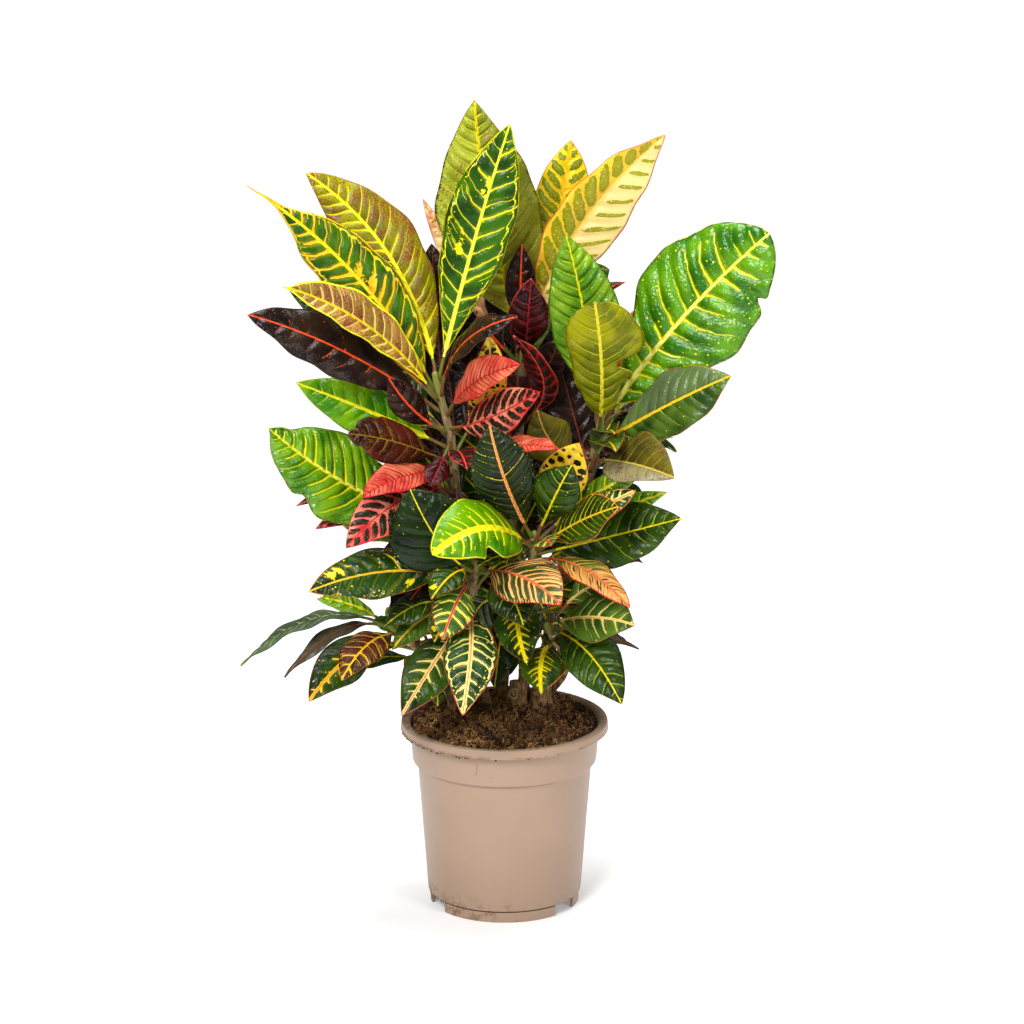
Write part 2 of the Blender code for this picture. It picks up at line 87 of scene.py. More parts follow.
# A leaf's stem and its height there, its tip and width, where its face points, how far it bows,
# and its look; its fold in degrees, the stalk's length, the widest place, how blunt it is, its
# twist, cup, curl and waves, its notches (side, place, depth, length) and its side veins' gap
Leaf = namedtuple(
    "Leaf",
    "stem height tip width face bow look fold stalk peak blunt twist cup curl wave notches gap",
    defaults=(14, 20, 0.52, 0.85, 0, -16, 0, 1.0, (), 12.0),
)
FORE = (0, -1, 0.3)
UP = (0, -0.5, 1)
LEAVES = (
    Leaf("back", 520, (-27, 60, 739), 94, FORE, (-8, 0, 4), "pale", peak=0.45, blunt=0.95,
         gap=12),
    Leaf("back", 514, (60, 90, 696), 56, FORE, (6, 0, 0), "lemon_cells", peak=0.6, gap=12),
    Leaf("back", 524, (144, 40, 711), 66, (0.4, -1, 0.1), (-14, 0, 8), "gold_cells", fold=30,
         gap=17),
    Leaf("back", 490, (-74, 96, 640), 22, FORE, (-10, 8, 10), "cream_peach", peak=0.42),
    Leaf("back", 516, (-30, 150, 650), 70, UP, (0, 10, 20), "olive"),
    Leaf("back", 502, (96, 154, 560), 60, UP, (0, 8, 24), "dark"),
    Leaf("back", 470, (-20, 154, 500), 62, UP, (0, 8, 20), "bright"),
    Leaf("back", 448, (-118, 140, 470), 56, UP, (0, 6, 14), "maroon"),
    Leaf("back", 400, (92, 154, 400), 60, UP, (0, 8, 20), "net"),
    Leaf("back", 350, (-60, 154, 330), 60, UP, (0, 8, 20), "dark"),
    Leaf("right", 452, (55, -12, 632), 64, FORE, (4, 0, 0), "bright_dark"),
    Leaf("right", 447, (80, -58, 582), 78, FORE, (4, -12, 0), "olive_plain", peak=0.62,
         blunt=0.45, wave=1.6, notches=((1, 0.47, 0.62, 0.05), (-1, 0.5, 0.26, 0.5),
                                        (1, 0.25, 0.30, 0.16))),
    Leaf("right", 456, (236, -14, 634), 112, (-0.3, -1, 0.3), (-7, -4, 5), "bright_broad", peak=0.58,
         blunt=0.62, gap=17, notches=((1, 0.78, 0.22, 0.02), (-1, 0.2, 0.35, 0.16))),
    Leaf("right", 435, (201, -56, 514), 60, (0, -0.8, 0.6), (0, -10, 5), "dark_sheen"),
    Leaf("right", 428, (153, 20, 436), 42, UP, (0, 4, 14), "dark_gold"),
    Leaf("right", 418, (151, -84, 428), 60, (0, -0.9, 0.7), (-4, -11, 8), "olive_dark", fold=40),
    Leaf("right", 408, (50, 42, 502), 46, FORE, (0, 4, -6), "shadow"),
    Leaf("right", 450, (124, 66, 548), 40, FORE, (4, 4, 0), "leopard_red"),
    Leaf("right", 440, (196, 112, 492), 60, UP, (0, 12, 20), "net"),
    Leaf("left", 497, (5, 4, 729), 62, FORE, (-2, 0, 0), "net", peak=0.58, gap=15),
    Leaf("left", 492, (-178, 44, 676), 66, (0.1, -1, 0.5), (19, 6, 14), "olive", gap=12,
         notches=((-1, 0.20, 0.42, 0.18),)),
    Leaf("left", 485, (-228, -12, 677), 62, (0, -1, 0.6), (12, -2, 12), "net_gold", peak=0.40,
         blunt=1.2, wave=2.0, notches=((1, 0.90, 0.75, 0.12), (-1, 0.88, 0.7, 0.11)), gap=14),
    Leaf("left", 478, (-196, -70, 599), 46, (0, -0.8, 0.8), (8, -4, 15), "olive_brown", fold=38,
         notches=((1, 0.97, 0.5, 0.03),)),
    Leaf("left", 466, (-228, -40, 566), 56, (0.2, -0.8, 0.7), (0, 0, 10), "maroon", gap=19),
    Leaf("left", 474, (-195, 42, 570), 42, (0, -0.8, 0.6), (0, 8, 6), "dark_orange"),
    Leaf("left", 430, (-187, -6, 494), 46, (0.1, -1, 0.5), (0, 0, 2), "bright_faint", gap=13),
    Leaf("left", 440, (-172, 112, 500), 56, UP, (0, 6, 14), "dark"),
    Leaf("left", 352, (-211, -36, 460), 78, (0.2, -1, 0.4), (-6, 0, -11), "bright", peak=0.58,
         wave=2.0, notches=((-1, 0.66, 0.22, 0.05), (1, 0.90, 0.25, 0.05))),
    Leaf("left", 482, (12, -60, 569), 32, (0.6, -0.4, 0.6), (-14, -10, 14), "maroon"),
    Leaf("left", 462, (14, -78, 530), 38, (0, -0.8, 0.6), (-8, -6, 8), "coral", fold=28),
    Leaf("left", 449, (31, -84, 507), 42, (0, -0.9, 0.5), (-4, -4, -6), "coral_cells"),
    Leaf("left", 415, (-139, -58, 461), 42, (0, -0.9, 0.5), (0, -4, 6), "rust", peak=0.58,
         blunt=0.7, notches=((1, 0.93, 0.5, 0.03), (-1, 0.85, 0.3, 0.03), (1, 0.7, 0.12, 0.04))),
    Leaf("left", 390, (-141, -88, 364), 48, (0, -1, 0.5), (0, -8, 18), "coral_cells"),
    Leaf("left", 310, (-150, 96, 330), 54, UP, (0, 4, 18), "bright"),
    Leaf("front", 350, (-63, -147, 375), 64, (0, -0.9, 0.6), (2, -15, 25), "bright_bold",
         gap=13, peak=0.42, blunt=0.62, notches=((-1, 0.50, 0.42, 0.06),)),
    Leaf("front", 360, (-13, -84, 476), 56, (0, -1, 0.2), (-4, -14, 0), "dashes", gap=8),
    Leaf("front", 362, (67, -56, 452), 44, FORE, (0, 0, 0), "leopard"),
    Leaf("front", 348, (101, -108, 408), 42, (0, -0.8, 0.6), (0, -6, 6), "stripes"),
    Leaf("front", 340, (158, -70, 386), 58, (0, -0.9, 0.6), (0, 4, -2), "dark"),
    Leaf("front", 336, (112, -112, 315), 32, UP, (0, -4, 16), "peach_wide"),
    Leaf("low_centre", 330, (-84, -66, 412), 79, FORE, (-2, -8, -10), "deep_plain", blunt=0.75),
    Leaf("low_centre", 320, (-175, -78, 320), 50, (0, -0.8, 0.7), (0, 0, 14), "splash"),
    Leaf("low_centre", 330, (50, -152, 331), 58, (0, -0.7, 0.8), (0, -6, 14), "peach"),
    Leaf("low_centre", 292, (-37, -158, 230), 48, (0, -1, 0.4), (6, -20, 22), "branch"),
    Leaf("low_centre", 274, (-92, -108, 213), 44, (-0.1, -1, 0.5), (4, -6, 12), "branch_cream"),
    Leaf("low_left", 266, (-240, -20, 231), 40, (0, 0, 1), (0, 0, 27), "grey"),
    Leaf("low_left", 262, (-176, -78, 217), 42, (0, -0.9, 0.7), (0, 4, 10), "branch_gold"),
    Leaf("low_left", 257, (-146, -100, 244), 38, (0, -0.6, 1), (0, -10, 18), "rust_gold"),
    Leaf("low_right", 278, (116, -98, 295), 50, (0, -0.9, 0.7), (0, 0, 7), "ribs", stalk=10),
    Leaf("low_right", 270, (105, -112, 225), 50, (0, -1, 0.6), (1, -5, 16), "dark", stalk=10),
    Leaf("low_right", 259, (33, -121, 238), 38, (0, -1, 0.6), (-5, -8, 9), "comb"),
)

# Smaller leaves, which the CAD model leaves out because its number of pieces is limited
MORE = (
    Leaf("back", 440, (8, -6, 538), 30, (-0.5, -1, 0), (24, -14, 0), "wine_coral", fold=20),
    Leaf("back", 496, (-22, 8, 552), 32, FORE, (-8, -4, 6), "maroon"),
    Leaf("back", 512, (16, 30, 614), 28, FORE, (-2, -8, 0), "maroon"),
    Leaf("right", 418, (30, -26, 474), 44, (0, -1, 0.3), (-8, -6, -10), "olive_peach"),
    Leaf("left", 424, (47, -86, 456), 34, UP, (0, -4, 6), "coral"),
    Leaf("left", 446, (-103, -34, 506), 30, FORE, (-4, -4, -4), "maroon"),
    Leaf("left", 404, (-126, -84, 410), 34, (0, -0.8, 0.7), (0, -2, 10), "coral", fold=24),
    Leaf("left", 444, (-14, -25, 544), 34, FORE, (13, -10, -6), "leopard"),
    Leaf("left", 424, (-33, -62, 429), 26, (0, -0.6, 0.8), (0, -6, 10), "wine_coral", fold=30),
    Leaf("left", 440, (-127, 40, 492), 24, FORE, (0, 0, 4), "bright"),
    Leaf("left", 462, (-146, 84, 582), 42, FORE, (4, 8, 6), "shadow"),
    Leaf("left", 366, (-172, 14, 352), 26, (0, -0.8, 0.7), (0, 8, 10), "coral_cells"),
    Leaf("left", 400, (-190, 20, 371), 18, FORE, (0, 0, 12), "maroon"),
    Leaf("front", 356, (60, -88, 441), 42, FORE, (0, -12, 6), "dark"),
    Leaf("front", 346, (117, -75, 413), 32, (0, -0.8, 0.7), (0, -4, 4), "branch"),
    Leaf("front", 342, (147, -20, 396), 24, FORE, (0, 0, 4), "bright"),
    Leaf("front", 352, (130, -6, 416), 24, FORE, (0, 4, 6), "bright"),
    Leaf("low_centre", 336, (17, -112, 299), 44, (0, -0.8, 0.7), (4, -4, 10), "dark"),
    Leaf("low_centre", 322, (-55, -122, 288), 40, (0, -1, 0.5), (0, -8, 12), "branch_pink"),
    Leaf("low_centre", 284, (-102, -44, 254), 28, (0, -0.9, 0.7), (0, 2, 14), "dark_gold"),
    Leaf("low_left", 266, (-200, -26, 222), 22, (0, -0.3, 1), (0, 6, 18), "grey_brown"),
    Leaf("low_left", 262, (-172, 32, 280), 24, (0, -0.6, 1), (0, 8, 4), "bright_dark"),
    Leaf("low_right", 276, (98, -40, 318), 32, (0, -0.8, 0.8), (0, 0, 10), "ribs"),
    Leaf("low_right", 268, (122, -40, 254), 13, (0, -0.6, 1), (0, 0, 6), "grey_brown"),
    Leaf("front", 300, (20, -114, 264), 42, (0, -1, 0.5), (-9, -4, 10), "comb"),
    Leaf("back", 264, (-9, 4, 202), 30, (0, -1, 0.5), (0, 0, 8), "deep_plain"),
    Leaf("low_right", 258, (34, -78, 226), 38, (0, -1, 0.5), (0, -4, 12), "stripes"),
    Leaf("low_right", 272, (50, -84, 290), 20, FORE, (0, 0, 4), "dark"),
    Leaf("back", 520, (110, 80, 566), 14, FORE, (0, 0, 8), "maroon"),
    Leaf("back", 470, (-56, 108, 584), 54, FORE, (0, 0, 8), "shadow"),
    Leaf("back", 430, (-72, 92, 524), 50, FORE, (0, 0, 4), "shadow"),
    Leaf("back", 384, (-80, 104, 440), 52, FORE, (0, 0, 4), "dark"),
    Leaf("back", 446, (66, 116, 532), 54, FORE, (0, 0, 4), "shadow"),
    Leaf("back", 404, (74, 104, 468), 54, FORE, (0, 0, 4), "dark"),
    Leaf("back", 334, (-52, 110, 388), 52, FORE, (0, 0, 4), "dark"),
    Leaf("back", 330, (62, 116, 388), 54, FORE, (0, 0, 4), "bright_dark"),
    Leaf("back", 296, (-14, 124, 330), 54, FORE, (0, 0, 4), "dark"),
    Leaf("back", 482, (-2, 80, 588), 44, FORE, (0, 0, 4), "shadow"),
    Leaf("back", 408, (-14, 94, 460), 46, FORE, (0, 0, 2), "shadow"),
    Leaf("back", 364, (4, 104, 456), 52, FORE, (0, 0, 4), "shadow"),
    Leaf("back", 290, (36, 108, 300), 56, (0, -1, 0.6), (0, 6, 14), "dark"),
    Leaf("back", 262, (2, 103, 180), 54, (0, -1, 0.6), (-2, 12, 26), "dark", blunt=0.7),
    Leaf("back", 258, (-36, 100, 226), 44, (0, -1, 0.6), (0, 8, 16), "dark"),
    Leaf("back", 470, (50, 18, 530), 30, (0, -0.9, 0.4), (4, -8, -2), "shadow"),
    Leaf("back", 424, (-2, 4, 478), 42, (0, -0.9, 0.5), (-2, -12, -6), "maroon"),
    Leaf("back", 396, (46, 4, 436), 40, (0, -0.9, 0.5), (2, -12, -2), "shadow"),
    Leaf("right", 400, (44, 70, 478), 42, FORE, (0, 0, 2), "shadow"),
    Leaf("left", 424, (-8, 34, 484), 38, FORE, (0, 4, -2), "shadow"),
    Leaf("left", 386, (-84, 60, 462), 44, FORE, (0, 4, 2), "shadow"),
    Leaf("back", 500, (24, -4, 590), 38, (0, -1, 0.2), (0, -12, -4), "wine_dark"),
    Leaf("back", 282, (42, 118, 220), 52, (0, -1, 0.6), (2, 10, 18), "dark", blunt=0.7),
    Leaf("left", 474, (-66, 64, 606), 42, FORE, (0, 6, 4), "shadow"),
    Leaf("front", 352, (42, -92, 368), 30, (0, -0.8, 0.7), (0, -4, 6), "branch_pink"),
    Leaf("left", 418, (-52, 50, 494), 38, FORE, (2, 8, 0), "shadow"),
    Leaf("left", 344, (-66, 66, 402), 44, FORE, (0, 6, 2), "dark"),
    Leaf("left", 436, (-66, -42, 408), 24, (0, -1, 0.5), (0, -6, 2), "wine_dark"),
    Leaf("left", 408, (-40, -34, 372), 26, (0, -1, 0.5), (0, -6, 2), "shadow"),
    Leaf("front", 322, (80, 14, 344), 34, FORE, (0, 0, 2), "dark"),
    Leaf("back", 320, (40, 26, 392), 40, FORE, (0, 0, 2), "dark"),
    Leaf("back", 432, (-99, 64, 474), 40, FORE, (0, 4, 4), "shadow"),
    Leaf("right", 235, (26, -7, 256), 31, FORE, (0, 4, 4), "dark"),
)
# The crown's outline as (x, z) seen from the front; filler leaves stay inside it
CROWN = (
    (-26, 753), (27, 693), (58, 714), (85, 684), (145, 719), (125, 661), (90, 615), (105, 579),
    (126, 569), (166, 624), (237, 634), (222, 569), (198, 509), (167, 463), (153, 411),
    (114, 402), (136, 385), (159, 366), (123, 326), (101, 312), (116, 282), (116, 259),
    (106, 189), (51, 202), (-22, 190), (-45, 192), (-93, 180), (-100, 230), (-149, 209),
    (-176, 195), (-201, 208), (-245, 225), (-187, 259), (-141, 278), (-175, 296), (-140, 340),
    (-171, 350), (-176, 383), (-211, 449), (-157, 453), (-184, 492), (-130, 486), (-98, 491),
    (-227, 556), (-192, 583), (-156, 583), (-227, 676), (-164, 656), (-176, 686), (-93, 656),
    (-62, 638), (-57, 697),
)
# The camera's place
EYE = (6.9, -4500, 1688)
# Filler leaves: stem, lowest height, number, least and most length, looks
FILL = (
    ("back", 300, 40, 75, 120, ("dark", "maroon", "shadow", "bright_dark", "rust", "dark")),
    ("right", 280, 30, 60, 105, ("dark", "shadow", "dark_gold", "maroon", "shadow")),
    ("left", 280, 40, 60, 105, ("dark", "shadow", "maroon", "shadow", "wine_coral", "dark")),
    ("front", 250, 16, 50, 85, ("dark", "dark_gold", "dark", "bright_dark")),
    ("low_centre", 225, 16, 50, 85, ("dark", "dark_gold", "net", "dark", "splash")),
    ("low_left", 205, 12, 50, 80, ("dark", "bright_dark", "dark_gold")),
    ("low_right", 205, 14, 50, 80, ("dark", "dark_gold", "dark", "ribs")),
)


def srgb(code):
    """A screen colour, given as a code like #7cb004, in linear numbers."""
    parts = [int(code[i:i + 2], 16) / 255 for i in (1, 3, 5)]
    return (*[part / 12.92 if part <= 0.04045 else ((part + 0.055) / 1.055) ** 2.4
              for part in parts], 1.0)


# Node trees from short expressions
class Field:
    """A number or vector that varies over a surface: one output in a node tree."""

    def __init__(self, web, socket):
        self.web, self.socket = web, socket

    def __rsub__(self, other):
        return self.web.math("SUBTRACT", other, self)

    def step(self, low, high):
        """0 below low, 1 above high and smooth between; low may be above high."""
        inputs = {"Value": self, "From Min": min(low, high), "From Max": max(low, high),
                  "To Min": float(low > high), "To Max": float(low <= high)}
        return self.web.node("MapRange", "Result", inputs, interpolation_type="SMOOTHSTEP")


def math_method(operation):
    return lambda self, *others: self.web.math(operation, self, *others)


for method, operation in (
    ("__add__", "ADD"), ("__radd__", "ADD"), ("__sub__", "SUBTRACT"), ("__mul__", "MULTIPLY"),
    ("__rmul__", "MULTIPLY"), ("__truediv__", "DIVIDE"), ("__pow__", "POWER"), ("abs", "ABSOLUTE"),
    ("floor", "FLOOR"), ("fract", "FRACT"), ("above", "GREATER_THAN"), ("max", "MAXIMUM"),
    ("min", "MINIMUM"), ("sin", "SINE"),
):
    setattr(Field, method, math_method(operation))


class Web:
    """A material's node tree with a Principled shader, and the colour mixed so far."""

    def __init__(self, name, roughness, specular):
        self.material = bpy.data.materials.new(name)
        self.material.use_nodes = True
        self.tree = self.material.node_tree
        self.shader = self.tree.nodes["Principled BSDF"].inputs
        self.feed(self.shader["Roughness"], roughness)
        self.feed(self.shader["Specular IOR Level"], specular)
        self.colour = None

    def feed(self, socket, value):
        """Link a field, or set a number, a linear colour or a screen colour's code."""
        if isinstance(value, Field):
            self.tree.links.new(value.socket, socket)
        else:
            socket.default_value = srgb(value) if isinstance(value, str) else value

    def node(self, kind, output, inputs, **options):
        """One output of a new node, with its inputs fed by name or number."""
        made = self.tree.nodes.new(f"ShaderNode{kind}")
        for option, value in options.items():
            setattr(made, option, value)
        for key, value in inputs.items():
            self.feed(made.inputs[key], value)
        return Field(self, made.outputs[output])

    def math(self, operation, *values):
        return self.node("Math", 0, dict(enumerate(values)), operation=operation)

    def attribute(self, name):
        return self.node("Attribute", "Vector", {}, attribute_name=name)

    def place(self):
        return self.node("TexCoord", "Object", {})

    def split(self, vector):
        outputs = self.node("SeparateXYZ", 0, {0: vector}).socket.node.outputs
        return [Field(self, out) for out in outputs]

    def join(self, *parts):
        return self.node("CombineXYZ", 0, dict(enumerate(parts)))

    def noise(self, where, scale, detail=2.0, rough=0.5):
        inputs = {"Vector": where, "Scale": scale, "Detail": detail, "Roughness": rough}
        return self.node("TexNoise", "Fac", inputs)

    def chance(self, where):
        """A random number for each whole place, as three fields."""
        return self.split(self.node("TexWhiteNoise", "Color", {"Vector": where}, noise_dimensions="3D"))

    def spots(self, where, scale):
        """Distance to the nearest of scattered points, and a random number for each."""
        distance = self.node("TexVoronoi", "Distance", {"Vector": where, "Scale": scale})
        lots = Field(self, distance.socket.node.outputs["Color"])
        return distance, self.split(lots)[0]

    def mix(self, share, first, second):
        return self.node("Mix", 2, {0: share, 6: first, 7: second}, data_type="RGBA")

    def cover(self, share, tint):
        """Lay a colour over the colour so far."""
        self.colour = self.mix(share, self.colour, tint)

    def coat(self, height, strength, distance):
        """The finished material, with a bump whose distance is in metres."""
        inputs = {"Strength": strength, "Distance": distance, "Height": height}
        self.feed(self.shader["Normal"], self.node("Bump", 0, inputs))
        self.feed(self.shader["Base Color"], self.colour)
        return self.material


# Leaf looks
LEMON = "#f6ec1c"
YELLOW = "#eed812"
GOLD = "#f6c21e"
CREAM = "#fee882"
ORANGE = "#f48a28"
PEACH = "#f6b060"
CORAL = "#ec5c44"
RED = "#c82420"
FLAME = "#e85020"
PINK = "#f07462"
BRIGHT = ("#7cb004", "#3a7c04")
DARK = ("#304c08", "#122806")
DEEP = ("#1a2e0c", "#0a180a")
BROWN = ("#2e1c12", "#160d0c")
OLIVE = ("#969400", "#647000")
KHAKI = ("#949400", "#606800")
BLACKISH = "#0e180c"

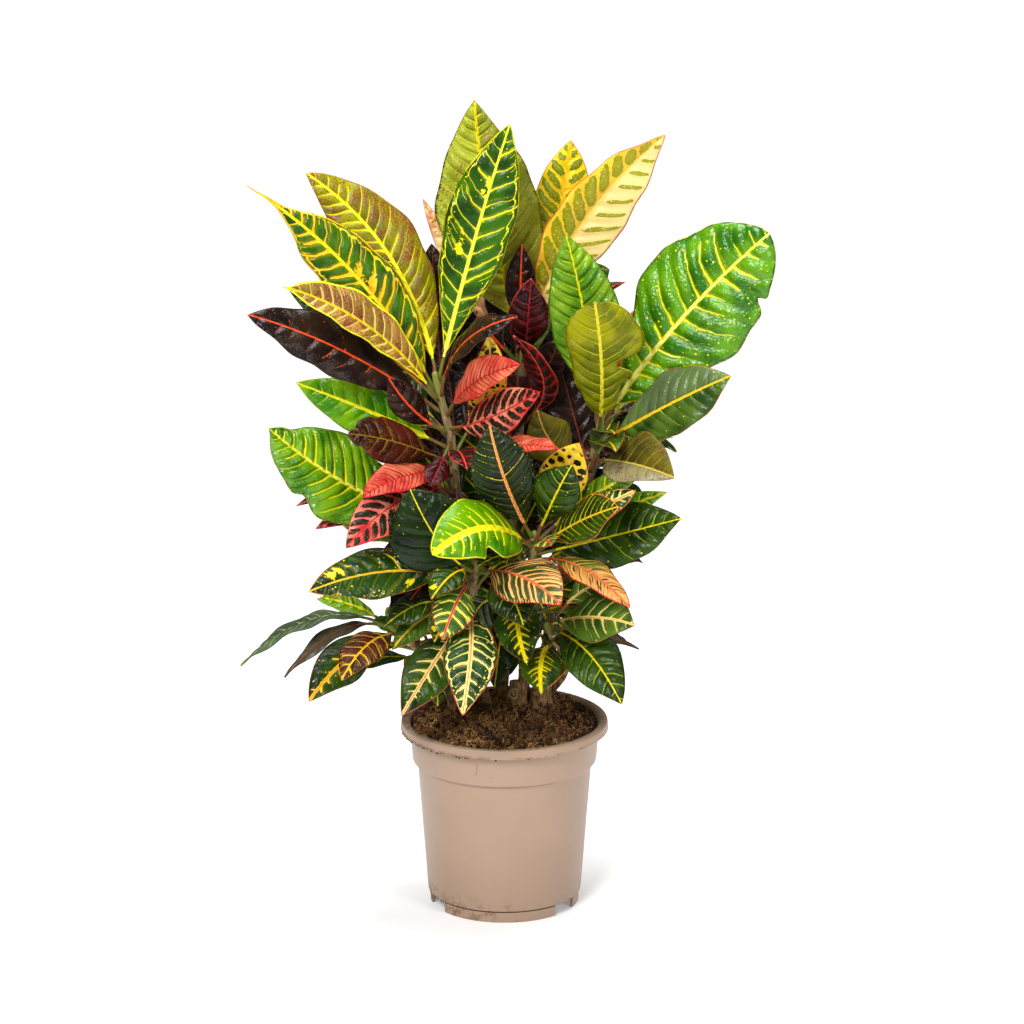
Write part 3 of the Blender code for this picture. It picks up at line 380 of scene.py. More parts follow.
# the half tint is a painted highlight or sheen in gold_cells and dark_sheen
# A look's slot is its underside and its record slot; base is the two colours it varies between.
# half: side, colour and share of a tint over one half; foot: colour near the stalk and its reach
# fleck: colour, threshold; cells: colour, size along, size across, share of random loss
# blotch: colour, threshold, scale; streaks: colour, threshold, how dense
# vein: colour, share of the gap at the midrib and at the margin, reach, share kept after breaks
# halo: share of paler green beside veins; loop: how many veins join near the margin
# flares: colour, middle across and along, reach across and along
# specks: colour, share shown, size; margin: colour, width in mm
# rib: colour, half width in mm at the foot and at the tip; core, inside it, the same
# dense, lean and wild: how close, slanted and uneven the veins are
# quilt: how deep the blade sinks at its veins; rough and gloss: the shader's own
LOOKS = {
    "bright": dict(slot="bright", base=BRIGHT, vein=(LEMON, 0.05, 0.022, 0.8, 0.85), halo=0.35,
        specks=(LEMON, 0.35, 1.1), rib=(LEMON, 2.6, 0.9), core=("#faf482", 0.9, 0.2),
        margin=(YELLOW, 0.6), quilt=2.5, rough=0.16, gloss=0.5),
    "bright_faint": dict(slot="bright", base=BRIGHT, vein=("#bece28", 0.03, 0.012, 0.6, 0.5),
        specks=(LEMON, 0.2, 1.0), rib=(LEMON, 2.3, 0.8), margin=(YELLOW, 0.6), quilt=1.2, rough=0.22),
    "bright_broad": dict(slot="bright", base=("#609a08", "#286806"),
        vein=(LEMON, 0.055, 0.02, 0.62, 0.72), halo=0.3, specks=(LEMON, 0.7, 1.6),
        rib=(LEMON, 2.8, 1.1), core=("#faf6a0", 1.2, 0.3), margin=(YELLOW, 0.6), lean=0.34, wild=1.2,
        quilt=2.4, rough=0.18, gloss=0.42),
    "bright_dark": dict(slot="green", base=("#88b410", "#4a880a"), vein=(LEMON, 0.03, 0.01, 0.55, 0.35),
        rib=(LEMON, 1.7, 0.7), margin=("#96b428", 0.5), quilt=2.6, rough=0.18, gloss=0.5),
    "bright_bold": dict(slot="bright", base=("#629800", "#326e04"),
        vein=(LEMON, 0.09, 0.03, 0.72, 0.75), halo=0.3, specks=(LEMON, 0.5, 1.6), rib=(LEMON, 3.4, 3.0),
        margin=(LEMON, 1.5), wild=1.5, rough=0.26),
    "dark": dict(slot="green", base=DARK, vein=("#aaba1e", 0.032, 0.014, 0.8, 0.5), halo=0.2,
        specks=(YELLOW, 0.3, 1.1), rib=(YELLOW, 1.2, 0.6), margin=("#966e28", 0.45), wild=1.2,
        quilt=1.0),
    "dark_gold": dict(slot="green", base=("#547616", "#224210"),
        vein=("#96b028", 0.028, 0.012, 0.75, 0.45), specks=(GOLD, 0.3, 1.0), rib=(GOLD, 1.6, 0.9),
        margin=(ORANGE, 0.6)),
    # dark_sheen paints a greyish sheen over one half
    "dark_sheen": dict(slot="green", base=("#4a661c", "#203c0e"), half=(-1, "#849268", 0.28),
        vein=("#a0b046", 0.03, 0.012, 0.7, 0.4), specks=(GOLD, 0.3, 1.0), rib=(GOLD, 1.7, 0.9),
        margin=(ORANGE, 0.6), gloss=0.3),
    "deep_plain": dict(slot="green", base=DEEP, vein=("#46641e", 0.024, 0.012, 0.8, 0.4),
        specks=(YELLOW, 0.35, 0.9), rib=(YELLOW, 1.0, 0.5), margin=("#5a6e1e", 0.45)),
    "cream_peach": dict(slot="orange", base=("#fad896", "#f0aa78"), blotch=(OLIVE[1], 0.0, 0.2),
        rib=(PEACH, 0.9, 0.6), margin=(PINK, 0.7)),
    "dark_orange": dict(slot="green", base=DARK, vein=("#6e9628", 0.025, 0.01, 0.6, 0.3),
        rib=(ORANGE, 1.2, 0.7), margin=("#6e5028", 0.45)),
    "dashes": dict(slot="green", base=DEEP, vein=(YELLOW, 0.04, 0.034, 0.98, 0.36), halo=0.1,
        specks=(YELLOW, 0.45, 1.0), rib=("#f6aa5a", 1.7, 1.0), core=("#ec6e46", 0.5, 0.3),
        margin=("#505a1e", 0.4)),
    "net": dict(slot="green", base=("#366806", "#1a3c08"), vein=(LEMON, 0.055, 0.034, 0.92, 0.8),
        halo=0.3, loop=0.55, flares=((LEMON, -0.42, 0.46, 0.13, 0.06),
        (LEMON, -0.1, 0.74, 0.13, 0.045)), specks=(LEMON, 0.3, 1.1), rib=(LEMON, 2.3, 0.9),
        core=("#f6ec82", 0.8, 0.2), margin=(LEMON, 0.9), wild=1.5),
    "net_gold": dict(slot="green", base=("#3e6c06", "#204406"), vein=(GOLD, 0.1, 0.05, 0.92, 0.8),
        halo=0.25, loop=0.6, flares=((GOLD, 0.16, 0.42, 0.26, 0.07), (ORANGE, 0.05, 0.41, 0.12, 0.04)),
        rib=(YELLOW, 2.0, 1.2), margin=(GOLD, 1.2), wild=1.6, gloss=0.16),
    "splash": dict(slot="green", base=("#244808", "#102a08"), vein=(YELLOW, 0.026, 0.05, 1.0, 0.36),
        loop=0.4, flares=((YELLOW, 0.5, 0.8, 0.28, 0.08), (YELLOW, -0.6, 0.3, 0.15, 0.05),
        (YELLOW, -0.3, 0.12, 0.1, 0.03)), specks=(YELLOW, 0.6, 1.6), rib=(GOLD, 1.5, 0.8),
        margin=(ORANGE, 0.5), wild=1.4),
    "olive": dict(slot="olive", base=OLIVE, fleck=("#7c4022", 0.53),
        vein=(YELLOW, 0.06, 0.022, 0.8, 0.85), halo=0.4, rib=(LEMON, 2.2, 1.0), margin=("#c88c28", 0.6),
        wild=1.2, gloss=0.16),
    "olive_brown": dict(slot="olive", base=("#aa803a", "#80701a"), fleck=("#783828", 0.54),
        vein=("#f0c86e", 0.07, 0.04, 0.95, 0.95), rib=(YELLOW, 1.8, 1.2), margin=(LEMON, 1.7)),
    "pale": dict(slot="olive", base=("#bec636", "#8e9a0e"), half=(1, "#60640c", 0.5),
        fleck=("#8c4c32", 0.6), vein=("#e2dc3c", 0.05, 0.02, 0.8, 0.6), rib=(YELLOW, 2.4, 1.2),
        margin=("#966e3c", 0.6), quilt=1.9, rough=0.26),
    "olive_plain": dict(slot="olive", base=KHAKI, fleck=("#825028", 0.66),
        vein=("#beba28", 0.03, 0.015, 0.9, 0.7), rib=("#dece32", 1.8, 1.2), margin=(YELLOW, 0.6),
        wild=1.3, quilt=1.0, gloss=0.16),
    "olive_dark": dict(slot="olive", base=("#706814", "#464214"), half=(1, "#928a68", 0.75),
        fleck=("#603822", 0.58), vein=("#aa963c", 0.03, 0.015, 0.9, 0.7), rib=("#d6be50", 1.3, 0.9),
        margin=("#aa8232", 0.5)),
    "olive_peach": dict(slot="olive", base=("#787014", "#544c10"),
        vein=("#968a32", 0.03, 0.015, 0.8, 0.6), rib=(PEACH, 1.1, 0.6), margin=("#8c7828", 0.5)),
    "lemon_cells": dict(slot="yellow", base=("#ecd614", "#f0c41e"), cells=("#607408", 0.4, 0.46, 0.35),
        rib=(GOLD, 2.0, 2.0), margin=(ORANGE, 0.9), wild=1.5, gloss=0.16),
    # gold_cells paints a pale highlight over one half, where its cells are smaller
    "gold_cells": dict(slot="yellow", base=("#fcda3c", "#fac232"), half=(1, "#ffeabe", 0.5),
        cells=("#92920a", 0.43, 0.4, 0.15), rib=("#fce282", 1.6, 0.8), margin=("#f48c42", 1.2),
        gloss=0.16),
    "maroon": dict(slot="maroon", base=BROWN, vein=(FLAME, 0.035, 0.015, 0.6, 0.35), halo=0.0,
        specks=(FLAME, 0.2, 1.1), rib=(FLAME, 1.3, 0.7), margin=("#823c32", 0.45), wild=1.4),
    # shadow: a near-black leaf, partly the leaves' own dark colour and partly painted shade deep in the
    # crown
    "shadow": dict(slot="maroon", base=("#281812", "#120c0c"), vein=("#5a281a", 0.03, 0.015, 0.7, 0.4),
        rib=("#6e321e", 0.9, 0.5), margin=("#5a2c24", 0.4)),
    "rust": dict(slot="maroon", base=("#541a10", "#2c100a"), fleck=("#785a14", 0.62),
        vein=("#826e14", 0.035, 0.02, 0.9, 0.5), halo=0.3, rib=("#966e18", 0.8, 0.5),
        margin=("#783c32", 0.45), wild=1.5),
    "rust_gold": dict(slot="maroon", base=("#5a2214", "#361e0c"), vein=(GOLD, 0.07, 0.04, 0.95, 0.85),
        rib=(GOLD, 1.3, 0.8), margin=("#be5a28", 0.5), wild=1.3),
    "wine_dark": dict(slot="red", base=("#3e0e10", "#1c080c"), vein=("#8c1a20", 0.05, 0.03, 0.9, 0.6),
        loop=0.4, rib=("#961e24", 0.9, 0.5), margin=("#be3c3c", 0.7), wild=1.6),
    "wine_coral": dict(slot="red", base=("#a01e20", "#601014"), cells=(BROWN[1], 0.4, 0.44, 0.3),
        rib=(CORAL, 1.0, 0.6), margin=(CORAL, 0.8), wild=1.4),
    "coral": dict(slot="red", base=("#f0805a", "#ce322e"), vein=("#961016", 0.1, 0.07, 1.0, 0.7),
        streaks=(BROWN[1], 0.6, 7.0), rib=(RED, 1.0, 0.7), margin=(RED, 0.9), dense=2.0, lean=1.1,
        wild=1.5),
    "coral_cells": dict(slot="red", base=("#f28c70", "#cc282c"), cells=("#16160e", 0.42, 0.47, 0.3),
        rib=(RED, 0.8, 0.6), margin=(RED, 0.8), lean=0.9, wild=1.5),
    "leopard": dict(slot="yellow", base=("#f8d032", "#ecb01e"), blotch=(BLACKISH, 0.24, 0.19),
        rib=("#f0c85a", 1.2, 0.8), margin=(RED, 0.8)),
    "leopard_red": dict(slot="red", base=("#ee7034", "#d84228"), blotch=(BLACKISH, 0.24, 0.19),
        rib=(RED, 1.0, 0.7), margin=(RED, 0.7)),
    "stripes": dict(slot="green", base=DARK, vein=(YELLOW, 0.05, 0.04, 0.9, 0.5), rib=(GOLD, 1.1, 0.8),
        margin=(ORANGE, 0.8), dense=1.6, lean=1.0),
    "peach": dict(slot="orange", base=("#2c4214", "#1e2e12"), vein=(PEACH, 0.12, 0.17, 1.0, 0.72),
        rib=("#f07c4c", 1.6, 1.0), core=(RED, 0.5, 0.4), margin=(RED, 1.1), dense=1.2, lean=1.35,
        wild=2.2, gloss=0.16),
    "peach_wide": dict(slot="orange", base=("#eaa652", "#d88240"), foot=("#5c7010", 0.62),
        vein=(PEACH, 0.1, 0.16, 1.0, 0.6), streaks=("#1e2c0e", 0.55, 4.0), rib=("#f06e40", 1.4, 0.9),
        margin=(RED, 1.1), dense=1.2, lean=1.2, wild=2.0, gloss=0.16),
    "branch": dict(slot="green", base=("#224c10", "#102e0e"), vein=(CREAM, 0.14, 0.03, 0.74, 0.85),
        loop=0.5, specks=(YELLOW, 0.9, 2.0), rib=(CREAM, 2.5, 1.8), core=(PINK, 0.7, 0.5),
        margin=(CORAL, 0.8), wild=2.4),
    "branch_gold": dict(slot="green", base=DARK, vein=(GOLD, 0.11, 0.01, 0.46, 0.85),
        specks=(YELLOW, 0.5, 1.2), rib=(GOLD, 2.2, 1.4), core=(ORANGE, 0.8, 0.6),
        margin=("#be5a32", 0.7), wild=2.0),
    "branch_cream": dict(slot="green", base=DARK, vein=(CREAM, 0.11, 0.015, 0.5, 0.85),
        specks=(YELLOW, 0.35, 1.2), rib=(CREAM, 2.2, 1.4), core=(PINK, 0.9, 0.6), margin=(CORAL, 0.7),
        wild=2.0),
    "branch_pink": dict(slot="green", base=("#3c6418", "#243c16"),
        vein=("#f4e25a", 0.1, 0.08, 0.95, 0.75), rib=("#f0825a", 1.6, 1.1), core=(RED, 0.7, 0.5),
        margin=(RED, 0.9), wild=2.0),
    "ribs": dict(slot="green", base=("#54741e", "#284814"), vein=(CREAM, 0.06, 0.02, 0.8, 0.85),
        specks=(YELLOW, 0.4, 1.2), rib=(CREAM, 1.6, 1.1), core=(PEACH, 0.6, 0.5),
        margin=("#c85a3c", 0.6), wild=1.5),
    "comb": dict(slot="yellow", base=DARK, vein=(YELLOW, 0.16, 0.02, 0.55, 0.9),
        specks=(YELLOW, 0.4, 1.2), rib=(YELLOW, 2.6, 1.6), margin=("#965028", 0.5), dense=1.3, lean=1.0,
        wild=1.7),
    "grey_brown": dict(slot="maroon", base=("#5c5040", "#3e382c"),
        vein=("#8c785a", 0.025, 0.01, 0.8, 0.4), rib=("#965a3c", 0.9, 0.5), margin=("#5a503c", 0.45)),
    "grey": dict(slot="green", base=("#5c6c4c", "#3c4e30"), vein=("#aab478", 0.03, 0.015, 0.85, 0.7),
        rib=("#c8c88c", 1.0, 0.5), margin=("#5a503c", 0.45)),
}
# Each slot's underside: its colour and its veins'
UNDERSIDES = {
    "green": ("#60763e", "#9cb054"), "bright": ("#749c32", "#c4ce46"),
    "olive": ("#80783c", "#c4b050"), "yellow": ("#c4a646", "#e0c264"),
    "orange": ("#92683c", "#e09a64"), "red": ("#9c3c36", "#da6454"),
    "maroon": ("#542c2c", "#965040"),
}
STALK_COLOURS = ("#687422", "#845432")
LEAF_ROUGHNESS, LEAF_GLOSS, QUILT = 0.25, 0.22, 0.7


def blend_colour(first, second, share):
    return tuple(x + (y - x) * share for x, y in zip(first, second))


class Blade:
    """What a leaf's upper side is made of: places over the blade and the random numbers there."""

    def __init__(self, web, look):
        self.web = web
        self.span = web.attribute("span")
        self.u, self.v, phase = web.split(web.attribute("blade"))
        self.x, self.y, self.seed = web.split(self.span)
        self.a = self.u.abs()
        self.side = self.u.above(0.0)
        self.wide = web.noise(self.span, 0.035, 2.0)
        self.fine = web.noise(self.span, 0.45, 3.0, 0.6)
        middle = web.noise(self.span, 0.12, 1.0)
        wild = look.get("wild", 1.0)
        place = (phase + self.side * 0.5) * look.get("dense", 1.0)
        uneven = (self.wide - 0.5) * 0.5 + (middle - 0.5) * 0.13
        self.place = place + uneven * wild + (self.fine - 0.5) * 0.06
        self.lot, self.lot_reach, self.lot_shift = self.chance(self.place)
        shift = (self.lot_shift - 0.5) * 0.26 * wild
        self.off = (self.place.fract() - 0.5 + shift).abs()

    def chance(self, place):
        return self.web.chance(self.web.join(place.floor(), self.side, self.seed.floor()))

    def stretched(self, along, across):
        """Noise in streaks that run along the side veins."""
        where = self.web.join(self.x * along, self.place * across, self.seed)
        return self.web.noise(where, 1.0, 2.0)


def add_flecks(blade, tint, threshold):
    """Ragged flecks between the side veins."""
    web = blade.web
    patch = web.noise(blade.span, 0.7, 3.0, 0.7)
    zone = web.noise(blade.span, 0.06, 1.0)
    near_vein = blade.off.step(0.0, 0.12) * 0.10 - 0.10
    share = patch * 0.75 + zone * 0.35 + near_vein
    web.cover(share.step(threshold, threshold + 0.07), tint)


def add_cells(blade, code, along, across, loss, highlight_side):
    """Rounded cells between the side veins, mottled with the colour so far."""
    web = blade.web
    tint = srgb(code)
    pale = tint[1] > 0.1
    place = blade.place + 0.5
    lot = blade.chance(place)[0]
    off = (place.fract() - 0.5).abs()
    ragged = (web.noise(blade.span, 0.28, 2.0) - 0.5) * 1.6
    # On the side of a painted highlight the cells are smaller
    if highlight_side:
        along = (blade.u * highlight_side).step(0.0, 0.1) * (-0.64 * along) + along
    cell = (off / along) ** 2.6 + ((blade.a - 0.5) / across).abs() ** 2.6 + ragged
    shrink = lot * loss * 1.6 + blade.v * 0.3
    inner = web.noise(blade.span, 0.5, 2.0)
    light = blend_colour(tint, (1.0, 0.85, 0.1, 1.0), 0.12 if pale else 0.01)
    shade = web.mix(cell.step(0.7, 0.0), tint, light)
    shade = web.mix(inner.step(0.57, 0.72) * (0.7 if pale else 0.5), shade, web.colour)
    web.cover((cell + shrink).step(1.3, 1.05), shade)


def add_blotches(blade, tint, threshold, scale):
    """Round blotches scattered over the blade."""
    web = blade.web
    far, lot = web.spots(web.join(blade.x * 0.75, blade.y, blade.seed), scale)
    blot = lot * 0.42 + threshold - far + (blade.fine - 0.5) * 0.55
    web.cover(blot.step(0.0, 0.06) * blade.v.step(0.97, 0.85) * blade.a.step(0.97, 0.85), tint)


def add_veins(blade, look):
    """Side veins: wedges at the midrib, uneven, broken, forked and some joined by loops."""
    web, a, off = blade.web, blade.a, blade.off
    tint, start, end, reach, kept = look["vein"]
    wedge = (0.16 - a).max(0.0) * (start * 6.0)
    width = (start + (a ** 0.7) * (end - start)) * (0.35 + blade.lot * 1.3) + wedge
    within = (reach + (blade.lot_reach - 0.5) * 0.55 - a).step(0.0, 0.08)
    halo = (width * 3.0 + 0.05 - off).step(0.0, 0.12) * within
    web.cover(halo * look.get("halo", 0.2), blend_colour(srgb(look["base"][0]), srgb(tint), 0.4))
    mask = (width - off).step(-0.008, 0.012) * within
    half = ((blade.place * 2.0).fract() - 0.5).abs()
    forks = (end * 0.9 + start * 0.3 - half).step(-0.01, 0.02)
    forks = forks * (a - blade.lot_shift * 0.5).step(0.42, 0.5) * (reach - a).step(0.0, 0.06)
    mask = mask.max(forks * 0.75)
    broken = blade.fine * 0.55 + blade.lot_shift * 0.25 + blade.wide * 0.35
    web.cover(mask * broken.step(0.98 - kept * 0.95, 1.03 - kept * 0.95), tint)
    if "loop" in look:
        line = (a - 0.80 - (off * math.pi).sin() * 0.08 + (blade.fine - 0.5) * 0.1).abs()
        ring = (line - start * 0.22).step(0.012, 0.0)
        web.cover(ring * broken.step(1.05 - look["loop"], 1.1 - look["loop"]), tint)


def add_specks(blade, tint, share, size):
    """Small round specks, more of them towards the tip and the margin."""
    web = blade.web
    far, lot = web.spots(blade.span, 0.22)
    often = (blade.lot * 0.5 + blade.v * 0.3 + blade.a * 0.5).step(0.3, 0.6)
    shown = lot.above(1.0 - share) * often
    web.cover((far - size * 0.12 * lot).step(0.03, 0.0) * shown, tint)


def leaf_coat(name, look):
    """The upper side of a leaf."""
    web = Web(f"leaf_{name}", look.get("rough", LEAF_ROUGHNESS), look.get("gloss", LEAF_GLOSS))
    blade = Blade(web, look)
    a, v, x = blade.a, blade.v, blade.x
    web.colour = web.mix(blade.wide.step(0.35, 0.65), *look["base"])
    mottle = web.noise(blade.span, 0.16, 3.0, 0.6)
    web.cover(mottle.step(0.52, 0.75) * 0.45, look["base"][0])
    # The half tint; in gold_cells and dark_sheen a painted highlight or sheen
    if "half" in look:
        side, tint, share = look["half"]
        web.cover((blade.u * side).step(0.0, 0.12) * share, tint)
    if "foot" in look:
        tint, reach = look["foot"]
        web.cover((v + blade.u * 0.2).step(reach, reach - 0.3), tint)
    if "fleck" in look:
        add_flecks(blade, *look["fleck"])
    if "cells" in look:
        add_cells(blade, *look["cells"], look.get("half", (0,))[0])
    if "blotch" in look:
        add_blotches(blade, *look["blotch"])
    if "vein" in look:
        add_veins(blade, look)
    if "streaks" in look:
        tint, threshold, dense = look["streaks"]
        web.cover(blade.stretched(0.08, dense).step(threshold, threshold + 0.04), tint)
    for tint, middle_u, middle_v, reach_u, reach_v in look.get("flares", ()):
        far = (((blade.u - middle_u) / reach_u) ** 2.0 + ((v - middle_v) / reach_v) ** 2.0) ** 0.5
        ray = blade.stretched(0.10, 3.0)
        flame = far + (ray - 0.5) * 2.4 + blade.off * 1.8 + (blade.fine - 0.5) * 2.2 - 0.3
        web.cover(flame.step(0.95, 0.8), tint)
    if "specks" in look:
        add_specks(blade, *look["specks"])
    for tint, foot, end in (look[part] for part in ("rib", "core") if part in look):
        width = foot + v * (end - foot) + (blade.fine - 0.5) * 1.0
        web.cover((width - x.abs()).step(-0.1, 0.25), tint)
    tint, width = look["margin"]
    edge_mm = x.abs() / a.max(0.02) - x.abs()
    web.cover((width + (blade.wide - 0.5) * 1.2 - edge_mm).step(-0.1, 0.25), tint)
    relief = blade.off.step(0.0, 0.34) * (1.0 - a * a)
    quilt = look.get("quilt", QUILT)
    pebbles = web.spots(blade.span, 0.32)[0] * (0.10 + 0.10 * quilt)
    return web.coat(relief * quilt * 0.8 + blade.fine * 0.25 + pebbles, 0.75, 0.0019)


def leaf_underside(name):
    """The duller underside, which also covers the stalk."""
    plain, vein = UNDERSIDES[name]
    web = Web(f"underside_{name}", 0.5, 0.4)
    span = web.attribute("span")
    u, v, phase = web.split(web.attribute("blade"))
    x = web.split(span)[0]
    wide = web.noise(span, 0.05, 2.0)
    off = ((phase + u.above(0.0) * 0.5).fract() - 0.5).abs()
    deep = tuple(part * 0.7 for part in srgb(plain)[:3]) + (1.0,)
    web.colour = web.mix(wide.step(0.3, 0.7), plain, deep)
    web.cover((0.05 - off).step(0.0, 0.03) * 0.8, vein)
    web.cover((1.5 - x.abs()).step(0.0, 0.5), vein)
    web.colour = web.mix(v.above(-0.001), web.mix(wide.step(0.4, 0.6), *STALK_COLOURS), web.colour)
    return web.coat(web.noise(span, 0.6, 3.0), 0.15, 0.0006)


# Meshes
def around(count):
    """Angles all round, in radians."""
    return np.linspace(0, 2 * math.pi, count, endpoint=False)


def at_azimuth(radius, azimuth, height):
    """A point at an azimuth in radians from the front."""
    return radius * math.sin(azimuth), -radius * math.cos(azimuth), height


def net_faces(rows, cols, ends=True, open_rows=False, round_again=False, flipped=False):
    """Faces between rows of points: a tube, unless the rows are open; it may close on itself."""
    faces = []
    for i in range(rows if round_again else rows - 1):
        for j in range(cols - 1 if open_rows else cols):
            k, m = (i + 1) % rows, (j + 1) % cols
            corners = [i * cols + m, k * cols + m, k * cols + j]
            faces.append([i * cols + j, *(corners[::-1] if flipped else corners)])
    if ends:
        way = 1 if flipped else -1
        faces.append(list(range(cols))[::way])
        faces.append(list(range((rows - 1) * cols, rows * cols))[::-way])
    return faces


def join_shapes(shapes):
    """Several (vertices, faces) as one."""
    vertices, faces, start = [], [], 0
    for points, polygons in shapes:
        vertices.append(np.asarray(points, float))
        faces += [[start + i for i in polygon] for polygon in polygons]
        start += len(points)
    return np.concatenate(vertices), faces


def add_object(name, data):
    made = bpy.data.objects.new(name, data)
    bpy.context.scene.collection.objects.link(made)
    return made


def mesh_piece(name, shape, materials, layers=(), smooth=True):
    """A mesh object in metres that rides on the part, with vector attributes on its points."""
    vertices, faces = shape
    mesh = bpy.data.meshes.new(name)
    mesh.from_pydata(np.asarray(vertices) * MM, [], faces)
    mesh.polygons.foreach_set("use_smooth", np.full(len(mesh.polygons), smooth))
    for material in materials:
        mesh.materials.append(material)
    for label, values in layers:
        layer = mesh.attributes.new(label, "FLOAT_VECTOR", "POINT")
        layer.data.foreach_set("vector", np.asarray(values, np.float32).reshape(-1))
    mesh.update()
    made = add_object(name, mesh)
    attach(made, "root")
    return made


# Leaf shapes
def smooth_path(points, steps=PATH_STEPS):
    """A Catmull-Rom curve through points of (x, y, z, radius)."""
    knots = [Vector(point) for point in points]
    knots = [2 * knots[0] - knots[1], *knots, 2 * knots[-1] - knots[-2]]
    path = []
    for i in range(1, len(knots) - 2):
        a, b, c, d = knots[i - 1:i + 3]
        for step in range(steps):
            t = step / steps
            curve = 2 * b + (c - a) * t + (2 * a - 5 * b + 4 * c - d) * t ** 2
            path.append((curve + (3 * b - a - 3 * c + d) * t ** 3) / 2)
    return [*path, knots[-2]]


def on_stem(path, height):
    """Centre, direction and radius of a stem at a height."""
    below = [i for i in range(len(path) - 1) if path[i].z <= height]
    low, high = path[below[-1]], path[below[-1] + 1]
    there = low.lerp(high, min(1.0, (height - low.z) / (high.z - low.z)))
    return there.xyz, (high.xyz - low.xyz).normalized(), there.w


def square_to(along, direction):
    """The part of a direction that is square to another, of length 1."""
    return (direction - direction.dot(along) * along).normalized()


class Midrib:
    """The curve from the stem to the leaf's tip, with the blade's directions along it."""

    SAMPLES = 60
    FACING = 36

    def __init__(self, leaf, path):
        centre, along, radius = on_stem(path, leaf.height)
        self.tip = Vector(leaf.tip)
        self.control = (centre + self.tip) / 2 + 2 * Vector(leaf.bow)
        self.away = square_to(along, self.control - centre)
        self.start = centre + self.away * (radius + FIT)
        self.twist = math.radians(leaf.twist)
        places = [i / self.SAMPLES for i in range(self.SAMPLES + 1)]
        self.faces = [square_to(self.tangent(place), Vector(leaf.face)) for place in places]
        for i in range(self.FACING + 1, self.SAMPLES + 1):
            self.faces[i] = square_to(self.tangent(places[i]), self.faces[i - 1])
        for i in range(self.FACING - 1, -1, -1):
            self.faces[i] = square_to(self.tangent(places[i]), self.faces[i + 1])
        spots = [self.point(place) for place in places]
        self.length = sum((b - a).length for a, b in zip(spots, spots[1:]))

    def point(self, t):
        return (1 - t) ** 2 * self.start + 2 * t * (1 - t) * self.control + t ** 2 * self.tip

    def tangent(self, t):
        return ((1 - t) * (self.control - self.start) + t * (self.tip - self.control)).normalized()

    def frame(self, t):
        """Point, side and face of the blade at a place from 0 to 1."""
        place = min(t * self.SAMPLES, self.SAMPLES - 0.001)
        low = int(place)
        along = self.tangent(t)
        face = square_to(along, self.faces[low].lerp(self.faces[low + 1], place - low))
        face.rotate(Matrix.Rotation(self.twist * (t - 0.6), 3, along))
        return self.point(t), along.cross(face), face


STALK_RADIUS, STALK_FOOT_RADIUS = 1.5, 2.0
STALK_ROWS = 7
ROW_STEP, FEWEST_ROWS = 2.3, 30
ACROSS = 25
BLADE_THICKNESS = 0.5
KEEL_DEPTH, KEEL_WIDTH = 1.0, 1.7
GROOVE_DEPTH, GROOVE_WIDTH = 0.35, 2.2
LATERAL_LEAN, LATERAL_SWEEP = 0.62, 0.25
# Lengths of the margin's two ripples, their strength, and the length of a leaf's long waves
RIPPLE_LENGTHS, RIPPLE = (13, 7.3), 0.026
WAVE_LENGTH = 42


def smoothstep(low, high, value):
    t = np.clip((value - low) / (high - low), 0, 1)
    return t * t * (3 - 2 * t)


def half_width(leaf, place):
    """Half the blade's width at a place from 0 to 1."""
    skew = math.log(0.5) / math.log(leaf.peak)
    return leaf.width / 2 * np.abs(np.sin(math.pi * place ** skew)) ** leaf.blunt


